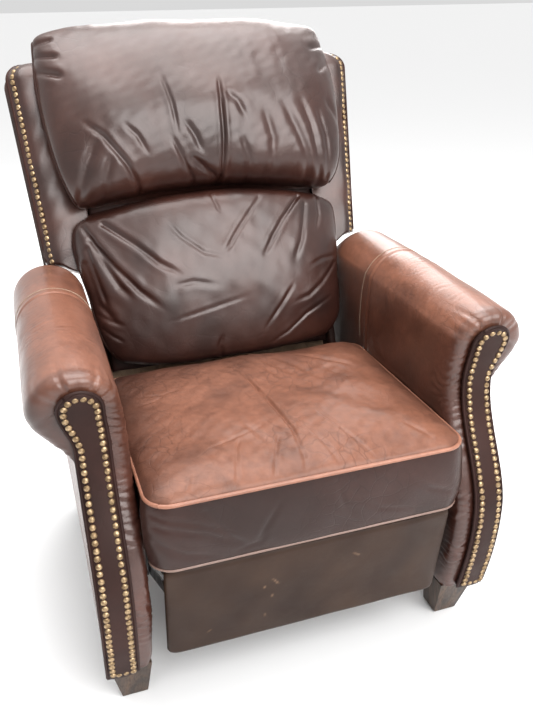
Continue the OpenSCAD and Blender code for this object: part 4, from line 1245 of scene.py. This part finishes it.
def back_half(v):
    """Half width of the outside back: narrow between the arms, wide above them, rounded at the top."""
    wide = 0.344 + 0.024 * (v - BACK_STEP) / 0.408 - WING_CORNER * corner_turn(v)
    return np.where(v < BACK_STEP, 0.2475 - 0.012 * smooth(-0.030, -0.0395, v), wide)


def outside_back_rings():
    """Thin closed sections at each height: a flat inside, rounded edges and a slightly crowned outside."""
    below = np.linspace(-0.0395, BACK_STEP - 0.0006, 60)
    v = np.concatenate([below, heights_to_corner(BACK_STEP + 0.0006, 60, 20)])
    u = np.linspace(-1, 1, 81)
    crown = np.clip(1.0 - np.abs(u) ** 10, 0, 1) ** 0.5
    ends = np.clip(smooth(-0.0395, -0.020, v) * smooth(WING_TOP + 0.0005, 0.694, v), 0, 1)[:, None]
    outside = BACK_IN + 0.006 + (BACK_OUT - BACK_IN - 0.006) * crown * (0.4 + 0.6 * ends)
    outside = outside + 0.0045 * crown * np.clip(1.0 - u**2, 0, 1) * ends
    half = back_half(v)[:, None]
    inside = xyz(half * u[::-1] * 0.985, BACK_IN, v[:, None])
    return np.concatenate([xyz(half * u, outside, v[:, None]), inside], axis=1)


rings = outside_back_rings()
x, w, v = np.moveaxis(rings, -1, 0)
sag = 1.6e-3 * ripple(x, v, 0.10, 0.35, 61) * (w > BACK_IN + 0.007)
rings = raised(rings, sag)
x, w, v = np.moveaxis(rings, -1, 0)
wear_and_painted_light = np.clip(0.10 + 0.10 * ripple(x, v, 0.08, 0.3, 62), 0, 1)
outside = skin("outside_back_cover", in_back(rings), dark_leather, wear_and_painted_light)
dress(outside, "back", ["outside_back"])
turn = np.linspace(0, 2 * np.pi, 32, endpoint=False)
roll = xyz(np.linspace(-0.2522, 0.2522, 60)[:, None], 0.0435 + 0.0160 * squared(np.cos(turn)),
           0.7045 + 0.0120 * squared(np.sin(turn)))
dress(skin("back_top_roll", in_back(roll), dark_leather, np.full(roll.shape[:2], 0.2)), "back")
v = heights_to_corner(BACK_STEP + 0.004, 50, 20)
edge = xyz(back_half(v) + 0.0008, 0.0655, v)
edge = in_back(np.concatenate([edge, edge[::-1] * [-1, 1, 1]]))
dress(cord_round("outside_back_welt", edge, 0.0026, dark_leather, wear_and_painted_light=0.3), "back")

# %% [markdown]
# ## Footrest, rear band and springs
#
# The footrest is a firm board pad, so it keeps a nearly flat face with softly rounded edges.
# The band closes the rear between the legs. Two coil springs pull the footrest shut: each is
# a wire carried along a helix between the seat and the lift links.

# %% Footrest pad and rear band
FOOT_Y, FOOT_Z, FOOT_TILT = -0.392, 0.109, math.radians(10)
FOOT_HALF, FOOT_HIGH, FOOT_THICK = 0.2575, 0.212, 0.0249


def in_footrest(points):
    """Turns points of the closed footrest's own frame into the chair's: the top leans forward."""
    across, behind, up = np.moveaxis(points, -1, 0)
    y = FOOT_Y - up * math.sin(FOOT_TILT) + behind * math.cos(FOOT_TILT)
    z = FOOT_Z + up * math.cos(FOOT_TILT) + behind * math.sin(FOOT_TILT)
    return xyz(across, y, z)


def panel_rings(half, high, thick, corner, crown, count):
    """Sections of a padded board at each height: corners of a given radius and a crowned face."""
    t = np.linspace(-1, 1, count)
    up = 0.5 * high * (1.0 + 0.7 * t + 0.3 * np.sin(np.pi * t / 2))
    near = np.minimum(up, high - up)
    lost = corner - np.sqrt(np.clip(corner**2 - np.clip(corner - near, 0, corner) ** 2, 0, None))
    edge = np.clip(near / 0.012, 0, 1)
    u = np.linspace(-1, 1, 161)
    u = 0.7 * u + 0.3 * np.sin(np.pi * u / 2)
    shape = np.clip(1.0 - np.abs(u) ** 26, 0, 1) ** 0.5 * np.sqrt(edge * (2 - edge))[:, None]
    face = 0.011 * (1 - shape) - crown * (1 - u**2) * (1 - t[:, None] ** 2)
    width = (half - lost)[:, None]
    rear = xyz(width * u[::-1] * 0.985, thick, up[:, None])
    return np.concatenate([xyz(width * u, face, up[:, None]), rear], axis=1)


SCUFFS = [
    ([(-76, 150), (-65, 133)], 1.6, 1.0, 1.0), ([(69, 166), (83, 156)], 1.5, 0.8, 1.0),
    ([(-90, 135), (-88, 129)], 1.5, 0.8, 1.0), ([(-77, 110), (-73, 101)], 1.5, 0.8, 1.0),
    ([(-85, 62), (-84, 52)], 1.4, 0.8, 1.0), ([(-190, 45), (-183, 50)], 1.4, 0.6, 1.0),
]
rings = panel_rings(FOOT_HALF, FOOT_HIGH, FOOT_THICK, 0.014, 0.0035, 110)
face = rings[..., 1] < 0.004
rings = raised(rings, face * 0.7e-3 * ripple(rings[..., 0], rings[..., 2], 0.08, 0.3, 71))
x, v = rings[..., 0], rings[..., 2]
scuff = np.clip(1600.0 * creases(x, v, SCUFFS), 0, 1) * face
wear_and_painted_light = np.clip(0.03 + 0.03 * ripple(x, v, 0.06, 0.25, 72) + 0.7 * scuff, 0, 1)
footrest = skin("footrest_cover", in_footrest(rings), olive_leather, wear_and_painted_light)
dress(footrest, "footrest", ["footrest_pad"])
(_, near_y, low_z), (far_x, far_y, high_z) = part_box("rear_band")
rings = panel_rings(far_x - 0.0003, high_z - low_z, far_y - near_y - 0.0002, 0.004, 0.003, 60)
placed = xyz(rings[..., 0], far_y - rings[..., 1], low_z + rings[..., 2])
band = skin("rear_band_cover", placed, dark_leather, np.full(rings.shape[:2], 0.08))
dress(band, "base", ["rear_band"])

# %% Coil springs
SPRING_X, SPRING_R, WIRE_R, TURNS = 0.243, 0.0052, 0.0008, 34
HOOK, LINK_END = np.array([0.012, 0.310]), np.array([-0.1530, 0.2629])


def coil_path(start, end, radius, turns, lead):
    """A helix between two points, with a straight lead at each end that curls onto the axis."""
    axis = (end - start) / np.linalg.norm(end - start)
    u = np.array([1.0, 0.0, 0.0])
    v = np.cross(axis, u)
    t = np.linspace(0.0, 1.0, turns * 10 + 1)[:, None]
    angle = 2 * np.pi * turns * t
    wide = radius * smooth(0.0, 0.02, t) * smooth(1.0, 0.98, t)
    body = start + axis * lead + (end - start - 2 * axis * lead) * t
    body = body + wide * (np.cos(angle) * u + np.sin(angle) * v)
    return np.concatenate([start[None], body, end[None]])


for side, sign in SIDES:
    start = np.array([sign * SPRING_X, *HOOK])
    end = np.array([sign * SPRING_X, *LINK_END])
    wire = coil_path(start, end, SPRING_R, TURNS, 0.012)
    spring = cord_round("footrest_spring_" + side, wire, WIRE_R, zinc, sides=6)
    if side == "left":
        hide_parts("footrest_springs")
    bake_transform(spring)
    print(spring.name, len(spring.data.polygons), "faces")
